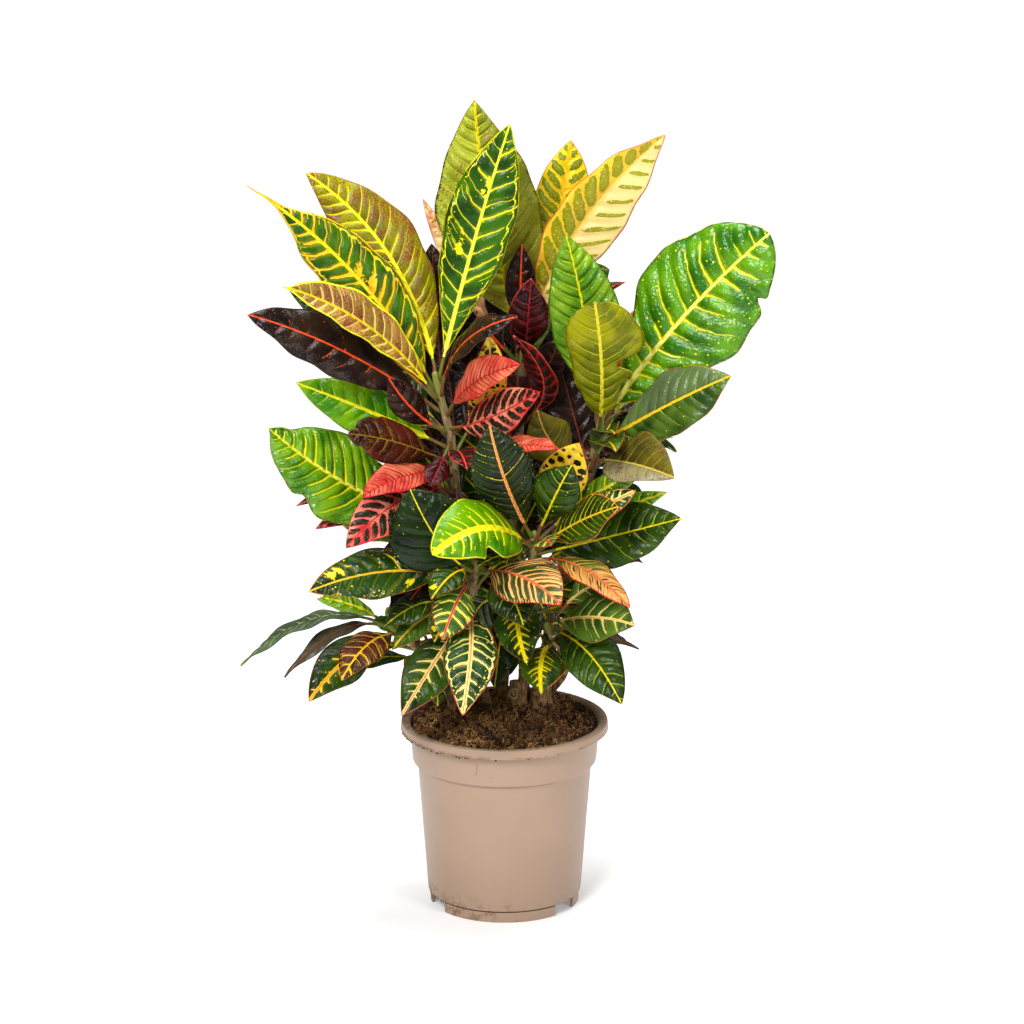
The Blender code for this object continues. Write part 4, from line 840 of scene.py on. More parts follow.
def leaf_grid(leaf, path, seed):
    """Rows of points on the upper and lower side, and what the looks need to know there."""
    midrib = Midrib(leaf, path)
    look = LOOKS[leaf.look]
    stalk = leaf.stalk / midrib.length
    blade_mm = midrib.length * (1 - stalk)
    rows = max(FEWEST_ROWS, int(blade_mm / ROW_STEP))
    s = np.concatenate([np.linspace(-1, 0, STALK_ROWS, endpoint=False), np.linspace(0, 1, rows)])
    t = np.where(s < 0, (s + 1) * stalk, stalk + (1 - stalk) * s)
    frames = [midrib.frame(float(place)) for place in t]
    bend = midrib.tangent(0).rotation_difference(midrib.away)
    for direction in frames[0][1:]:
        direction.rotate(bend)
    point, across, face = (np.array([f[i] for f in frames])[:, None, :] for i in range(3))
    rng = np.random.default_rng(seed)
    u = np.linspace(-1, 1, ACROSS)[None, :]
    a = np.abs(u)
    blade = np.clip(s, 0, 1)[:, None]
    width = np.repeat(half_width(leaf, np.clip(blade, 1e-6, 1)), ACROSS, axis=1)
    for side, where, depth, reach in leaf.notches:
        dent = 1 - depth * np.exp(-((blade - where) / reach) ** 2)
        width = np.where(u * side > 0, width * dent, width)
    start = rng.uniform(0, 2 * math.pi, 4)
    length, shorter = RIPPLE_LENGTHS
    ripple = np.sin(blade * blade_mm / length + np.where(u > 0, start[0], start[1]))
    ripple = ripple + 0.7 * np.sin(blade * blade_mm / shorter + np.where(u > 0, start[2], start[3]))
    radius = np.interp(s, (-1, -0.3, 0, 0.16), (STALK_FOOT_RADIUS, STALK_RADIUS, STALK_RADIUS, 0.2))
    x = u * np.maximum(width * (1 + RIPPLE * ripple), radius[:, None])
    y = np.where(s < 0, s * leaf.stalk, s * blade_mm)[:, None] + 0 * u
    lead = look.get("lean", LATERAL_LEAN) * np.abs(x) + LATERAL_SWEEP * np.abs(x) * a ** 2
    phase = (y - lead) / leaf.gap + rng.uniform(0, 1)
    place = phase + np.where(u > 0, 0.5, 0.0)
    quilt = look.get("quilt", QUILT) * 1.1
    swell = quilt * np.cos(math.pi * (place % 1.0)) ** 2
    swell = swell * smoothstep(0.02, 0.22, a) * np.sqrt(np.clip(1.02 - a ** 2, 0, 1))
    swell = swell * smoothstep(0.0, 0.12, blade) * (1 - smoothstep(0.88, 1.0, blade))
    angle = np.radians(leaf.fold + leaf.cup * a)
    out = np.sign(u) * np.abs(x) * np.cos(angle)
    waves = np.sin(2 * math.pi * y / WAVE_LENGTH + np.where(u > 0, start[1], start[2]))
    waves = leaf.wave * 1.6 * waves * a ** 2.5 * smoothstep(0.05, 0.25, blade)
    high = np.abs(x) * np.sin(angle) + swell + waves
    high = high - GROOVE_DEPTH * np.exp(-(x / GROOVE_WIDTH) ** 2)
    round_top = radius[:, None] * np.sqrt(np.clip(1 - a ** 2, 0, 1))
    blend = smoothstep(0.0, 0.12, s)[:, None]
    keel = (KEEL_DEPTH * (1 - blade) + 0.25) * np.exp(-(x / KEEL_WIDTH) ** 2)
    top = (1 - blend) * round_top + blend * high
    low = -(1 - blend) * round_top + blend * (high - (BLADE_THICKNESS + keel) * (1 - a ** 6))
    curl = leaf.curl * np.clip((s - 0.6) / 0.4, 0, 1)[:, None, None] ** 2
    base = point + face * curl + across * out[:, :, None]
    upper, lower = (base + face * rise[:, :, None] for rise in (top, low))
    same = np.zeros_like(x)
    blade_layer = np.stack([u + same, s[:, None] + same, phase], -1)
    return upper, lower, blade_layer, np.stack([x, y, same + seed * 37.0], -1)


def leaf_object(name, leaf, path, seed):
    """One closed mesh: stalk, upper side and lower side, joined along the margin."""
    upper, lower, blade, span = leaf_grid(leaf, path, seed)
    rows, cols = upper.shape[:2]
    ring, blade, span = (np.concatenate([over, under[:, -2:0:-1]], axis=1)
                         for over, under in ((upper, lower), (blade, blade), (span, span)))
    sides = ring.shape[1]
    slot = LOOKS[leaf.look]["slot"]
    made = mesh_piece(name, (ring.reshape(-1, 3), net_faces(rows, sides)),
                      (coats[leaf.look], undersides[slot]),
                      (("blade", blade), ("span", span)))
    row, column = np.divmod(np.arange((rows - 1) * sides), sides)
    over = (column < cols - 1) & (row >= STALK_ROWS)
    slots = np.append(np.where(over, 0, 1), [1, 1]).astype(np.int32)
    made.data.polygons.foreach_set("material_index", slots)
    return made


# Where smaller leaves go
SHEET_ROWS, SHEET_COLUMNS = 12, 5
STEM_CORNERS = 5


def inside_crown(point):
    """Does a point show inside the crown's outline from the front?"""
    share = -EYE[1] / (point[1] - EYE[1])
    x = EYE[0] + (point[0] - EYE[0]) * share
    z = EYE[2] + (point[2] - EYE[2]) * share
    odd = False
    for (ax, az), (bx, bz) in zip(CROWN, CROWN[1:] + CROWN[:1]):
        if (az > z) != (bz > z) and x < ax + (z - az) * (bx - ax) / (bz - az):
            odd = not odd
    return odd


def thin_sheet(leaf, path):
    """A coarse sheet of the blade's middle surface: points and faces."""
    midrib = Midrib(leaf, path)
    start = leaf.stalk / midrib.length
    points = []
    for s in np.linspace(0.06, 1, SHEET_ROWS):
        spot, across, face = midrib.frame(float(start + (1 - start) * s))
        half = float(half_width(leaf, min(s, 0.999)))
        for u in np.linspace(-1, 1, SHEET_COLUMNS):
            angle = math.radians(leaf.fold + leaf.cup * abs(u))
            points.append(spot + across * (u * half * math.cos(angle))
                          + face * (abs(u) * half * math.sin(angle)))
    return points, net_faces(SHEET_ROWS, SHEET_COLUMNS, ends=False, open_rows=True)


def thin_stem(path):
    """A coarse tube round a stem: points and faces."""
    points = [knot.xyz + Vector((math.cos(a), math.sin(a), 0)) * knot.w
              for knot in path for a in around(STEM_CORNERS)]
    return points, net_faces(len(path), STEM_CORNERS, ends=False)


def boxed_tree(points, faces):
    """A search tree of a sheet and the corners of its box, for telling whether sheets cross."""
    corners = np.array([list(point) for point in points])
    return BVHTree.FromPolygons(points, faces), corners.min(0), corners.max(0)


def crosses(sheet, others):
    """Does a sheet cut through any of the others?"""
    tree, low, high = sheet
    return any((low < top).all() and (high > bottom).all() and tree.overlap(other)
               for other, bottom, top in others)


def hides(points, front):
    """Does a sheet stand in front of leaves that show in the front view?"""
    middles = points[2 * SHEET_COLUMNS + 2::SHEET_COLUMNS]
    hit = [front.ray_cast(p, (p - Vector(EYE)).normalized())[0] is not None for p in middles]
    return sum(hit) > MOST_HIDDEN


# Filler leaves: random seed, tries for each leaf, turn from one to the next in degrees, the box
# that their tips stay in, and how many points of one may stand before a leaf that shows
FILLER_SEED = 7
FILLER_TRIES = 40
GOLDEN_ANGLE = 137.5
FILLER_FRONT, FILLER_BACK, FILLER_SIDE = -140, 152, 225
MOST_HIDDEN = 2


def filler_leaves(sheets, front):
    """Leaves that fill the crown between the others, clear of them and inside its outline."""
    rng = np.random.default_rng(FILLER_SEED)
    up = Vector((0, 0, 1))
    rows = []
    for stem, lowest, wanted, short, long, looks in FILL:
        path = paths[stem]
        azimuth = rng.uniform(0, 360)
        made = 0
        for tried in range(1, wanted * FILLER_TRIES + 1):
            if made == wanted:
                break
            azimuth += GOLDEN_ANGLE + rng.uniform(-25, 25)
            height = rng.uniform(lowest, path[-1].z - 8)
            length = rng.uniform(short, long) * (1 - 0.35 * tried / (wanted * FILLER_TRIES))
            rise = math.radians(rng.uniform(-15, 62))
            turned = math.radians(azimuth)
            way = Vector((math.cos(turned) * math.cos(rise), math.sin(turned) * math.cos(rise),
                          math.sin(rise)))
            centre = on_stem(path, height)[0]
            tip = centre + way * length
            lift = rng.uniform(4, 16)
            middle = centre.lerp(tip, 0.6) + up * lift
            width = length * rng.uniform(0.34, 0.48)
            side = way.cross(up).normalized() * width * 0.5
            if not all(inside_crown(p) for p in (tip, middle + side, middle - side)):
                continue
            if not (FILLER_FRONT < tip.y < FILLER_BACK and abs(tip.x) < FILLER_SIDE):
                continue
            face = up + way * -0.3 + Vector((0, -0.35, 0))
            leaf = Leaf(stem, height, tuple(tip), width, tuple(face), (0, 0, lift),
                        looks[made % len(looks)], fold=rng.uniform(10, 22), stalk=18,
                        cup=rng.uniform(-24, 0), curl=rng.uniform(-8, 3))
            points, faces = thin_sheet(leaf, path)
            sheet = boxed_tree(points, faces)
            if hides(points, front) or crosses(sheet, sheets):
                continue
            sheets.append(sheet)
            rows.append(leaf)
            made += 1
    return rows


# Pot
POT_TURNS = 168
POT_PROFILE = (
    (0.01, 12.8, 0), (68.9, 12.8, 4), (78.1, 130.6, 3), (83.0, 137.6, 3), (85.6, 171.0, 3),
    (88.4, 175.0, 2.4), (94.6, 175.0, 2.6), (95.0, 167.9, 0.6), (95.3, 167.4, 0.4),
    (95.2, 166.4, 0.4), (93.6, 166.4, 0.4), (93.4, 172.6, 1), (87.6, 173.0, 1.5),
    (87.0, 170.0, 1), (84.5, 137.6, 0.9), (83.9, 136.7, 0.5), (80.0, 134.9, 1.2),
    (79.5, 130.0, 2), (70.5, 12.2, 0.8), (69.9, 11.2, 0.5), (66.0, 11.0, 0.3), (0.01, 11.0, 0),
)
# Heights in metres of the edges that dirt and shadow gather at
LIP_EDGE, LIP_TOP, COLLAR_STEP, FOOT_GROOVE = 0.1664, 0.1750, 0.1355, 0.0106
FOOT_PROFILE = (
    (66.2, 11.6, 0), (68.0, 11.6, 0), (68.0, 10.3, 0), (69.1, 10.1, 0.3), (68.9, 9.4, 0.2),
    (68.3, 0.5, 0.3), (67.8, 0.0, 0.3), (65.4, 0.0, 0.3),
)
FOOT_STARTS, FOOT_SPAN, FOOT_STEPS = (66.5, 186.5, 306.5), 96, 40
DRAIN_RADIUS, DRAIN_CIRCLE, DRAIN_COUNT, DRAIN_SIDES = 4.5, 42.0, 6, 28
DRAIN_HEIGHTS = (9.0, 15.0)
SHARP_DEGREES = 38


def rounded(profile, steps=4):
    """A profile of (radius, height, fillet) with its corners rounded."""
    out = []
    for i, (r, z, fillet) in enumerate(profile):
        here = Vector((r, z))
        if not fillet or i in (0, len(profile) - 1):
            out.append(here)
            continue
        ends = []
        for other in (profile[i - 1], profile[i + 1]):
            way = Vector(other[:2]) - here
            ends.append(here + way.normalized() * min(fillet, way.length * 0.45))
        for step in range(steps + 1):
            t = step / steps
            out.append((1 - t) ** 2 * ends[0] + 2 * t * (1 - t) * here + t ** 2 * ends[1])
    return out


def turn(profile, steps, first=0.0, last=360.0):
    """A profile turned about Z between two azimuths from the front, with end caps if open."""
    whole = last - first >= 360
    angles = np.radians(np.linspace(first, last, steps, endpoint=not whole))
    points = [at_azimuth(r, a, z) for a in angles for r, z in profile]
    return points, net_faces(steps, len(profile), not whole, open_rows=whole, round_again=whole)


def drain_holes(pot):
    """Cut the round holes in the pot's floor."""
    for turned in around(DRAIN_COUNT):
        points = [(DRAIN_CIRCLE * math.cos(turned) + DRAIN_RADIUS * math.cos(a),
                   DRAIN_CIRCLE * math.sin(turned) + DRAIN_RADIUS * math.sin(a), z)
                  for z in DRAIN_HEIGHTS for a in around(DRAIN_SIDES)]
        mesh = bpy.data.meshes.new("drain")
        mesh.from_pydata(np.array(points) * MM, [], net_faces(2, DRAIN_SIDES))
        cutter = add_object("drain", mesh)
        cut = pot.modifiers.new("drain", "BOOLEAN")
        cut.operation, cut.solver, cut.object = "DIFFERENCE", "EXACT", cutter
        bpy.context.view_layer.update()
        seen = pot.evaluated_get(bpy.context.evaluated_depsgraph_get())
        done = bpy.data.meshes.new_from_object(seen)
        pot.modifiers.clear()
        pot.data = done
        bpy.data.objects.remove(cutter)


def make_pot():
    plastic = [pot_coat()]
    pot = mesh_piece("fine_pot", turn(rounded(POT_PROFILE), POT_TURNS), plastic)
    drain_holes(pot)
    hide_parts("pot")
    feet = [turn(rounded(FOOT_PROFILE, 3), FOOT_STEPS, start, start + FOOT_SPAN)
            for start in FOOT_STARTS]
    ring = mesh_piece("fine_pot_foot", join_shapes(feet), plastic)
    for made in (pot, ring):
        made.data.polygons.foreach_set("use_smooth", np.ones(len(made.data.polygons), bool))
        made.data.set_sharp_from_angle(angle=math.radians(SHARP_DEGREES))


def pot_coat():
    """Satin taupe plastic with dark specks, soil under the lip and on the foot, and painted shade in
    the foot's groove and at the collar's step.
    """
    web = Web("pot", 0.40, 0.45)
    where = web.place()
    x, y, z = web.split(where)
    cloud = web.noise(where, 9.0, 2.0)
    web.colour = web.mix(cloud.step(0.3, 0.7), "#a48973", "#9c826d")
    far, lot = web.spots(where, 90.0)
    speck = (far - 0.05 * lot).step(0.012, 0.0) * lot.above(0.72)
    web.cover(speck * 0.8, "#604e3e")
    rough = web.noise(where, 130.0, 4.0, 0.7)
    left = (x * -9.0 + 0.55).max(0.0).min(1.0)
    under = (z - LIP_EDGE).abs().step(0.0032, 0.0006) * (rough + left * 0.14).step(0.55, 0.66)
    rim = z.step(LIP_TOP - 0.0012, LIP_TOP) * (rough + left * 0.10).step(0.60, 0.66)
    foot = z.step(0.030, 0.004) * (rough + left * 0.16 + x.abs() * 0.5).step(0.62, 0.74)
    # Painted shade: a dark line in the foot's groove, and a fainter one at the collar's step
    groove_shade = (z - FOOT_GROOVE).abs().step(0.0010, 0.0003)
    step = (z - COLLAR_STEP).abs().step(0.0016, 0.0004) * 0.35
    soil = web.mix(web.noise(where, 300.0, 2.0), "#88684a", "#604630")
    dirt = under.max(rim).max(foot)
    web.cover(dirt * 0.7, soil)
    web.cover(groove_shade.max(step), "#544234")
    web.feed(web.shader["Roughness"], dirt * 0.4 + cloud * 0.08 + 0.36)
    return web.coat(rough * 0.3 + dirt * rough, 0.35, 0.0008)


# Soil
SOIL_LEVEL = 170.6
SOIL_EDGE_RADIUS = 84.6
SOIL_RINGS, SOIL_SPOKES = 108, 360
SOIL_BELOW = ((82.4, 138.0), (77.4, 131.0), (68.6, 13.4))
STEM_FEET = ((-44, 45, 6), (33, 38, 11), (-4, 62, 7), (17, 50, 7), (11, 40, 9), (-46, 25, 6),
             (-16, 44, 6), (35, 61, 6))
# How many crumbs lie on the soil and stick to the lip's edge, its top and the foot, and how far
# from the pot's axis
CRUMBS, EDGE_CRUMBS, TOP_CRUMBS, FOOT_CRUMBS = 1500, 90, 46, 60
CRUMB_REACH, EDGE_RADIUS, TOP_RADIUS, FOOT_RADIUS = 82.5, 94.3, 90.5, 69.6
FIBRES, FIBRE_POINTS, FEWEST_POINTS = 620, 8, 4
FIBRE_REACH, FIBRE_LIMIT = 80, 83
# Where a hair clings to the collar, as (x, z)
HAIR = ((-26, 158), (-24.8, 157), (-24.6, 153), (-25.4, 149.5), (-26.8, 146.5))


def clamped(value, low=0.0):
    return min(1.0, max(low, value))


def back_rise(y):
    """The soil lies higher towards the back."""
    return 5.0 * clamped((y + 25) / 80)


def soil_height(x, y):
    """Height of the lumpy soil."""
    r = math.hypot(x, y)
    big = noise.fractal(Vector((x, y, 3)) / 13, 1.0, 2.0, 3)
    clod = abs(noise.fractal(Vector((x, y, 9)) / 6.5, 0.9, 2.0, 3))
    fine = noise.fractal(Vector((x, y, 17)) / 2.3, 0.7, 2.1, 3)
    near = min(math.hypot(x - a, y - b) - c for a, b, c in STEM_FEET)
    heap = 2.2 * math.exp(-max(near, 0) / 5.0)
    edge = clamped((85.0 - r) / 12, 0.25)
    level = SOIL_LEVEL - 1.6 * (r / 84.0) ** 2 + back_rise(y) + 1.5 * clamped(-x / 70)
    return level + (2.2 * big + 5.0 * (0.36 - clod) + 2.0 * fine) * edge + heap


def soil_coat():
    web = Web("soil", 0.95, 0.15)
    where = web.place()
    rise = web.split(web.attribute("rise"))[0]
    patch = web.noise(where, 60.0, 3.0)
    grain = web.noise(where, 420.0, 4.0, 0.7)
    web.colour = web.mix(grain.step(0.43, 0.60), "#1c110a", "#be8250")
    web.cover(patch.step(0.45, 0.7) * 0.6, "#22160d")
    x, y, z = web.split(where)
    bits = web.noise(web.join(x, y * 3.0, z), 330.0, 2.0)
    web.cover(bits.step(0.62, 0.68), "#ce9e60")
    # Painted shade: the soil's low places, and its edge sunk against the pot, are darkened
    web.cover(rise.step(0.55, -0.5) * 0.9, "#0c0805")
    return web.coat(grain + patch, 0.9, 0.0015)


def bits_coat(name, first, second, roughness=0.9):
    """Crumbs and fibres, each with its own shade from the attribute."""
    web = Web(name, roughness, 0.25)
    shade = web.split(web.attribute("shade"))[0]
    grain = web.noise(web.place(), 700.0, 4.0, 0.7)
    web.colour = web.mix((shade * 1.1 + grain * 1.2 - 0.64).max(0.0).min(1.0), first, second)
    return web.coat(grain, 0.9, 0.0008)


def make_soil():
    """A polar grid of lumps, closed below."""
    points = [(0, 0, soil_height(0, 0))]
    for i in range(1, SOIL_RINGS + 1):
        r = SOIL_EDGE_RADIUS * (i / SOIL_RINGS) ** 0.92
        sunk = 2.0 if i == SOIL_RINGS else 0.0
        for a in around(SOIL_SPOKES) + i % 2 * math.pi / SOIL_SPOKES:
            x, y = r * math.cos(a), r * math.sin(a)
            points.append((x, y, soil_height(x, y) - sunk))
    for r, z in SOIL_BELOW:
        points += [(r * math.cos(a), r * math.sin(a), z) for a in around(SOIL_SPOKES)]
    rows = SOIL_RINGS + len(SOIL_BELOW)
    *sides, _, bottom = net_faces(rows, SOIL_SPOKES, flipped=True)
    faces = [[0, 1 + j, 1 + (j + 1) % SOIL_SPOKES] for j in range(SOIL_SPOKES)]
    faces += [[1 + corner for corner in face] for face in (*sides, bottom)]
    # rise, the height over the soil's mean level, sets where the soil's painted shade goes
    rise = [((z - SOIL_LEVEL - back_rise(y)) / 3.0, 0, 0) for x, y, z in points]
    soil = mesh_piece("fine_soil", (points, faces), [soil_coat()], [("rise", rise)])
    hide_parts("soil")


def clod():
    """A ball of 42 points, for crumbs."""
    shape = bmesh.new()
    bmesh.ops.create_icosphere(shape, subdivisions=2, radius=1.0)
    points = [tuple(vert.co) for vert in shape.verts]
    faces = [[vert.index for vert in face.verts] for face in shape.faces]
    shape.free()
    return points, faces


def lump(rng, size):
    """A small irregular clod: points and faces about the origin."""
    points, faces = CLOD
    stretch = size * rng.uniform(0.6, 1.25, 3)
    seed = Vector(rng.uniform(0, 100, 3))
    grow = [[1 + 0.75 * noise.fractal(Vector(p) * 1.5 + seed, 0.7, 2.0, 2)] for p in points]
    turned = Matrix.Rotation(rng.uniform(0, 6.3), 3, Vector(rng.normal(size=3)).normalized())
    return np.array(points) * grow * stretch @ np.array(turned), faces


def shaded_piece(name, shapes, shades, coat, smooth):
    """Many small shapes on the soil as one piece, each with its own shade."""
    shade = np.repeat(shades, [len(points) for points, _ in shapes])
    layer = np.stack([shade, 0 * shade, 0 * shade], -1)
    mesh_piece(name, join_shapes(shapes), [coat], [("shade", layer)], smooth)


def make_crumbs():
    """Clods on the soil, and a few stuck to the lip and the foot."""
    rng = np.random.default_rng(21)
    shapes, shades = [], []

    def put(centre, size):
        points, faces = lump(rng, size)
        shapes.append((points + centre, faces))
        shades.append(rng.uniform(0, 1) ** 2.5 if size < 1.2 else rng.uniform(0, 0.42))

    for _ in range(CRUMBS):
        r, a = CRUMB_REACH * math.sqrt(rng.uniform(0, 1)), rng.uniform(0, 2 * math.pi)
        x, y = r * math.cos(a), r * math.sin(a)
        size = rng.uniform(0.5, 1.3) if rng.uniform() < 0.72 else rng.uniform(1.4, 3.2)
        put((x, y, soil_height(x, y) + size * 0.25), size)
    for _ in range(EDGE_CRUMBS):
        azimuth = math.radians(rng.normal(-62, 26))
        put(at_azimuth(EDGE_RADIUS, azimuth, rng.uniform(165.2, 166.8)), rng.uniform(0.4, 1.1))
    for _ in range(TOP_CRUMBS):
        azimuth = math.radians(rng.uniform(-180, 180))
        put(at_azimuth(TOP_RADIUS, azimuth, 175.1), rng.uniform(0.3, 0.75))
    for _ in range(FOOT_CRUMBS):
        azimuth = math.radians(rng.normal(-58, 20) if rng.uniform() < 0.7 else rng.normal(58, 14))
        put(at_azimuth(FOOT_RADIUS, azimuth, rng.uniform(10.4, 12.2)), rng.uniform(0.3, 0.8))
    coat = bits_coat("crumbs", "#1c110a", "#ba8252")
    shaded_piece("soil_crumbs", shapes, shades, coat, False)


def directions(points):
    """The direction of a path at each of its points."""
    last = len(points) - 1
    return [(points[min(i + 1, last)] - points[max(i - 1, 0)]).normalized()
            for i in range(len(points))]


def strand(points, radius, sides=4):
    """A thin tube through points."""
    rows = []
    for i, (point, along) in enumerate(zip(points, directions(points))):
        side = along.cross(Vector((0.3, 0.2, 1))).normalized()
        other = along.cross(side)
        thick = radius * (1 - 0.5 * abs(2 * i / (len(points) - 1) - 1))
        rows += [point + (side * math.cos(a) + other * math.sin(a)) * thick for a in around(sides)]
    return rows, net_faces(len(points), sides)


def make_fibres():
    """Coir fibres over the soil, and one hair on the collar."""
    rng = np.random.default_rng(5)
    shapes, shades = [], []
    for _ in range(FIBRES):
        r, a = FIBRE_REACH * math.sqrt(rng.uniform(0, 1)), rng.uniform(0, 2 * math.pi)
        x, y = r * math.cos(a), r * math.sin(a)
        heading, bend = rng.uniform(0, 2 * math.pi), rng.normal(0, 0.35)
        step = rng.uniform(0.8, 2.4)
        lift = rng.uniform(0.3, 2.2)
        points = []
        for i in range(FIBRE_POINTS):
            rise = math.sin(math.pi * i / (FIBRE_POINTS - 1)) * lift
            points.append(Vector((x, y, soil_height(x, y) + 0.25 + rise)))
            heading += bend + rng.normal(0, 0.2)
            x, y = x + math.cos(heading) * step, y + math.sin(heading) * step
            if math.hypot(x, y) > FIBRE_LIMIT:
                break
        if len(points) < FEWEST_POINTS:
            continue
        shapes.append(strand(points, rng.uniform(0.12, 0.36)))
        shades.append(rng.uniform(0, 1) ** 1.6)
    hair = []
    for x, z in HAIR:
        radius = 84.6 + (z - 137) * 0.0765
        hair.append(Vector((x, -math.sqrt(radius ** 2 - x ** 2) - 0.1, z)))
    shapes.append(strand(hair, 0.16))
    shades.append(0.0)
    coat = bits_coat("fibres", "#684022", "#ffd084", 0.7)
    shaded_piece("soil_fibres", shapes, shades, coat, True)


# Stems
STEM_SIDES = 26
STEM_STEPS = 9
SCAR_START, SCAR_STEP = 186, 8.5
KNOT_RINGS, KNOT_SIDES = 13, 28
# A woody mound beside the low centre stem, and the stump's healed cut: centre, facing, radius
MOUND = ((-13, 52, 150, 11), (-13, 52, 168, 11), (-12, 51, 174, 9.5), (-10, 50, 178, 5.5))
HEALED_CUT = ((8.5, 31.0, 187.5), (-0.15, -1, 0.45), 6.2)


def bark_coat():
    """Grey-brown bark that turns green towards the growing tip."""
    web = Web("bark", 0.8, 0.3)
    share, _, scar = web.split(web.attribute("bark"))
    where = web.place()
    x, y, z = web.split(where)
    grain = web.noise(web.join(x, y, z * 0.28), 420.0, 4.0, 0.65)
    patch = web.noise(where, 70.0, 3.0, 0.6)
    web.colour = web.mix(grain.step(0.32, 0.68), "#62442c", "#b88e62")
    web.cover(patch.step(0.48, 0.7) * 0.6, "#4c3624")
    tan = web.mix(grain.step(0.3, 0.7), "#746042", "#aa9268")
    web.cover(share.step(0.45, 0.85), tan)
    web.cover(share.step(0.88, 0.98), "#86903a")
    web.cover(scar.step(0.25, 0.7) * 0.75, "#c4a87e")
    return web.coat(grain * 0.8 + patch * 0.5, 0.8, 0.0012)


def scar_height(scars, z, turned):
    """How much of a leaf scar there is at a height and an angle, from 0 to 1."""
    best = 0.0
    for level, middle in scars:
        if abs(level - z) < 6:
            apart = (turned - middle + math.pi) % (2 * math.pi) - math.pi
            best = max(best, math.exp(-((z - level) / 1.7) ** 2 - (apart / 0.75) ** 2))
    return best


def stem_shape(points, seed, wood=0.0, ripe=1.0):
    """A tube with bark relief and leaf scars, closed at both ends, and its attribute."""
    path = smooth_path(points, STEM_STEPS)
    rng = np.random.default_rng(seed)
    ways = directions([knot.xyz for knot in path])
    side = ways[0].cross(Vector((0, 1, 0))).normalized()
    low, high = path[0].z, path[-1].z
    levels = np.arange(SCAR_START + 3 * rng.uniform(), high - 4, SCAR_STEP)
    scars = [(z, (k * 2.4 + seed) % (2 * math.pi)) for k, z in enumerate(levels)]
    rows, layer = [], []
    shift = Vector(rng.uniform(0, 50, 3))
    for i, (knot, along) in enumerate(zip(path, ways)):
        side = square_to(along, side)
        other = along.cross(side)
        flare = 1 + (0.22 + wood) * math.exp(-abs(knot.z - 168) / 7)
        close = 0.55 if i == len(path) - 1 else 1.0
        for a in around(STEM_SIDES):
            spot = Vector((math.cos(a) * 1.6, math.sin(a) * 1.6, knot.z / 15)) + shift
            ridge = noise.fractal(spot, 0.9, 2.0, 3)
            knobs = noise.noise(Vector((math.cos(a), math.sin(a), knot.z / 7)) * 1.3 + shift * 2)
            scar = scar_height(scars, knot.z, a)
            radius = knot.w * flare * close * (1 + (0.07 + wood) * ridge + (0.04 + wood) * knobs)
            radius += 0.45 * scar
            rows.append(knot.xyz + (side * math.cos(a) + other * math.sin(a)) * radius)
            layer.append(((knot.z - low) / (high - low) * ripe, 0, scar))
    return rows, net_faces(len(path), STEM_SIDES), layer


def knot_shape(centre, face, radius):
    """A healed cut: a low dome of concentric rings."""
    face = Vector(face).normalized()
    side = face.cross(Vector((0, 0, 1))).normalized()
    other = face.cross(side)
    rows, layer = [], []
    for i in range(KNOT_RINGS):
        share = i / (KNOT_RINGS - 1)
        ripple = math.sin(i * 1.1)
        rise = 1.5 * (1 - share ** 2) + 0.6 * ripple - (2.5 if share == 1 else 0)
        for a in around(KNOT_SIDES):
            r = radius * share * (1 + 0.06 * math.sin(3 * a + 1) + 0.04 * math.sin(5 * a)) + 0.01
            rows.append(Vector(centre) + face * rise
                        + (side * math.cos(a) + other * math.sin(a) * 1.15) * r)
            layer.append((0.1, 0, 0.4 + 0.4 * ripple))
    return rows, net_faces(KNOT_RINGS, KNOT_SIDES, flipped=True), layer


def make_stems():
    coat = bark_coat()
    for number, (name, points) in enumerate(STEMS.items()):
        shapes = [stem_shape(points, number, wood=0.10 if name == "right" else 0.0)]
        if name == "front":
            shapes.append(stem_shape(STUMP, 31, wood=0.06, ripe=0.2))
            shapes.append(knot_shape(*HEALED_CUT))
        if name == "low_centre":
            shapes.append(stem_shape(MOUND, 47, wood=0.12, ripe=0.2))
        layer = np.concatenate([shape[2] for shape in shapes])
        stem = mesh_piece(f"fine_stem_{name}", join_shapes([shape[:2] for shape in shapes]),
                          [coat], [("bark", layer)])
        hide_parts(f"stem_{name}")


CLOD = clod()
make_pot()
make_soil()
make_crumbs()
make_fibres()
make_stems()

# Leaves
coats = {name: leaf_coat(name, look) for name, look in LOOKS.items()}
undersides = {name: leaf_underside(name) for name in UNDERSIDES}
paths = {name: smooth_path(points) for name, points in STEMS.items()}
count = dict.fromkeys(STEMS, 0)
named = (*LEAVES, *MORE)
thin = [thin_sheet(leaf, paths[leaf.stem]) for leaf in named]
shown = BVHTree.FromPolygons(*join_shapes(thin))
clear = [boxed_tree(*sheet) for sheet in (*thin, *map(thin_stem, paths.values()))]
for number, leaf in enumerate((*named, *filler_leaves(clear, shown))):
    count[leaf.stem] += 1
    name = f"leaf_{leaf.stem}_{count[leaf.stem]:02d}"
    fine = leaf_object(f"fine_{name}", leaf, paths[leaf.stem], number + 1)
    if number < len(LEAVES):
        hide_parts(name)

# Floor, light and camera
WHITE = (1, 1, 1, 1)
FLOOR_RADIUS, FLOOR_SIDES, FLOOR_GLOW = 1.45, 96, 0.22
BACKGROUND, WORLD_LIGHT = 1.1, 0.17
# Lights: name, place, what it faces, width and height, power
LIGHTS = (
    ("key", (-0.9, -2.3, 2.2), (0, 0, 0.4), (1.0, 1.2), 78),
    ("fill", (1.7, -2.0, 1.3), (0, 0, 0.4), (0.7, 1.2), 22),
    ("top", (0.1, 0.3, 2.6), (0, 0, 0.3), (1.4, 1.4), 72),
)
SENSOR_WIDTH = 36.0
FOCAL_LENGTH, PICTURE_WIDTH = 5172.0, 1024
CAMERA_TILT = 16.308
FAR_LIMIT = 50.0


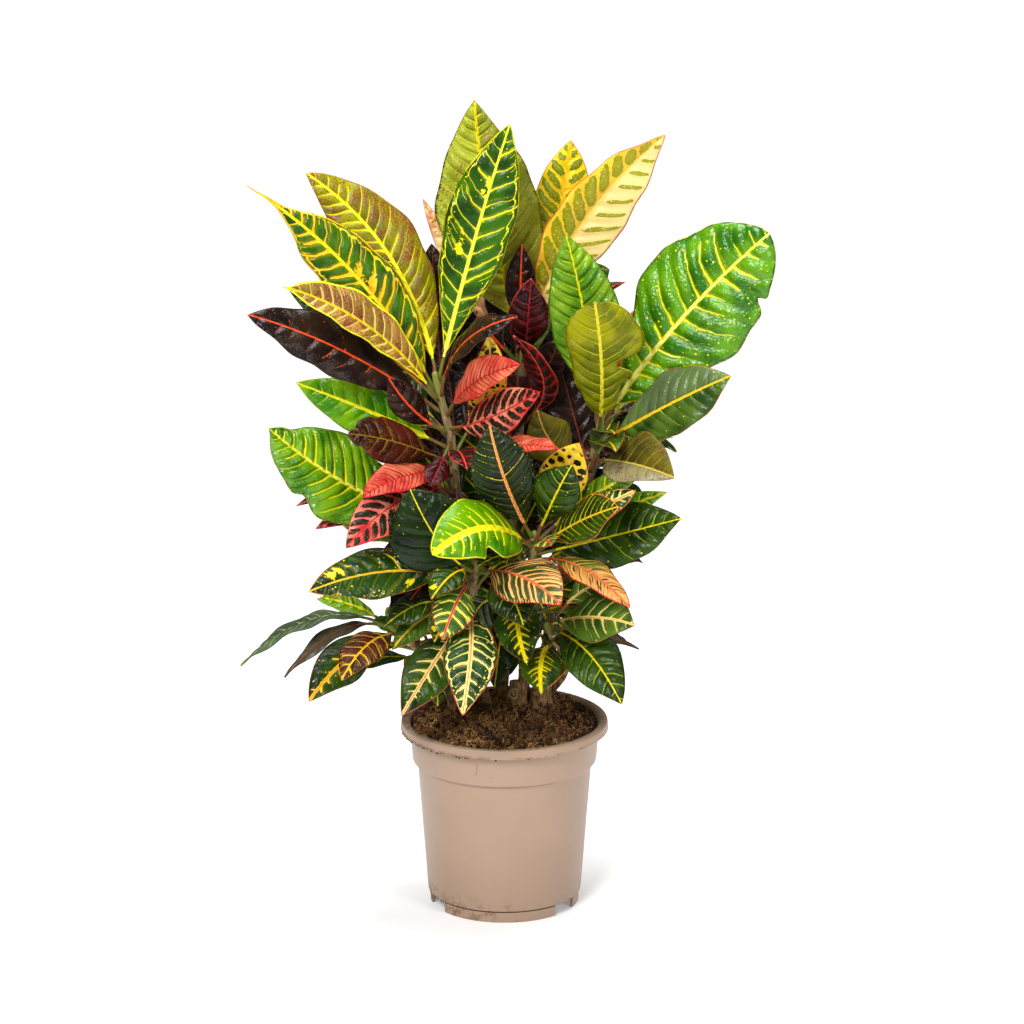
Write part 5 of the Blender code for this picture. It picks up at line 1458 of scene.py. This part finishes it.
def make_floor():
    web = Web("floor", 0.9, 0.1)
    web.feed(web.shader["Emission Color"], WHITE)
    web.feed(web.shader["Emission Strength"], FLOOR_GLOW)
    pale = web.noise(web.place(), 3.0)
    tone = web.mix(pale, (0.90, 0.90, 0.90, 1), (0.92, 0.92, 0.92, 1))
    web.feed(web.shader["Base Color"], tone)
    mesh = bpy.data.meshes.new("floor")
    rim = [(FLOOR_RADIUS * math.cos(a), FLOOR_RADIUS * math.sin(a), 0) for a in around(FLOOR_SIDES)]
    mesh.from_pydata(rim, [], [tuple(range(FLOOR_SIDES))])
    mesh.materials.append(web.material)
    add_object("floor", mesh)


def studio_world():
    """White behind the object, and a dimmer white light from all round."""
    world = bpy.data.worlds.new("studio")
    world.use_nodes = True
    tree = world.node_tree
    lit, seen = tree.nodes["Background"], tree.nodes.new("ShaderNodeBackground")
    mix = tree.nodes.new("ShaderNodeMixShader")
    for number, (node, strength) in enumerate(((lit, WORLD_LIGHT), (seen, BACKGROUND)), 1):
        node.inputs["Color"].default_value = WHITE
        node.inputs["Strength"].default_value = strength
        tree.links.new(node.outputs[0], mix.inputs[number])
    ray = tree.nodes.new("ShaderNodeLightPath")
    tree.links.new(ray.outputs["Is Camera Ray"], mix.inputs[0])
    tree.links.new(mix.outputs[0], tree.nodes["World Output"].inputs["Surface"])
    bpy.context.scene.world = world


def area_light(name, place, target, size, power):
    data = bpy.data.lights.new(name, "AREA")
    data.shape = "RECTANGLE"
    data.size, data.size_y = size
    data.energy = power
    made = add_object(name, data)
    made.location = place
    made.rotation_euler = (Vector(target) - Vector(place)).to_track_quat("-Z", "Y").to_euler()


make_floor()
studio_world()
for light in LIGHTS:
    area_light(*light)

camera_data = bpy.data.cameras.new("camera")
camera_data.sensor_width = SENSOR_WIDTH
camera_data.lens = FOCAL_LENGTH / PICTURE_WIDTH * SENSOR_WIDTH
camera_data.clip_end = FAR_LIMIT
camera = add_object("camera", camera_data)
camera.location = [part * MM for part in EYE]
camera.rotation_euler = (math.radians(90 - CAMERA_TILT), 0, 0)
bpy.context.scene.camera = camera
bpy.context.scene.view_settings.view_transform = "Standard"
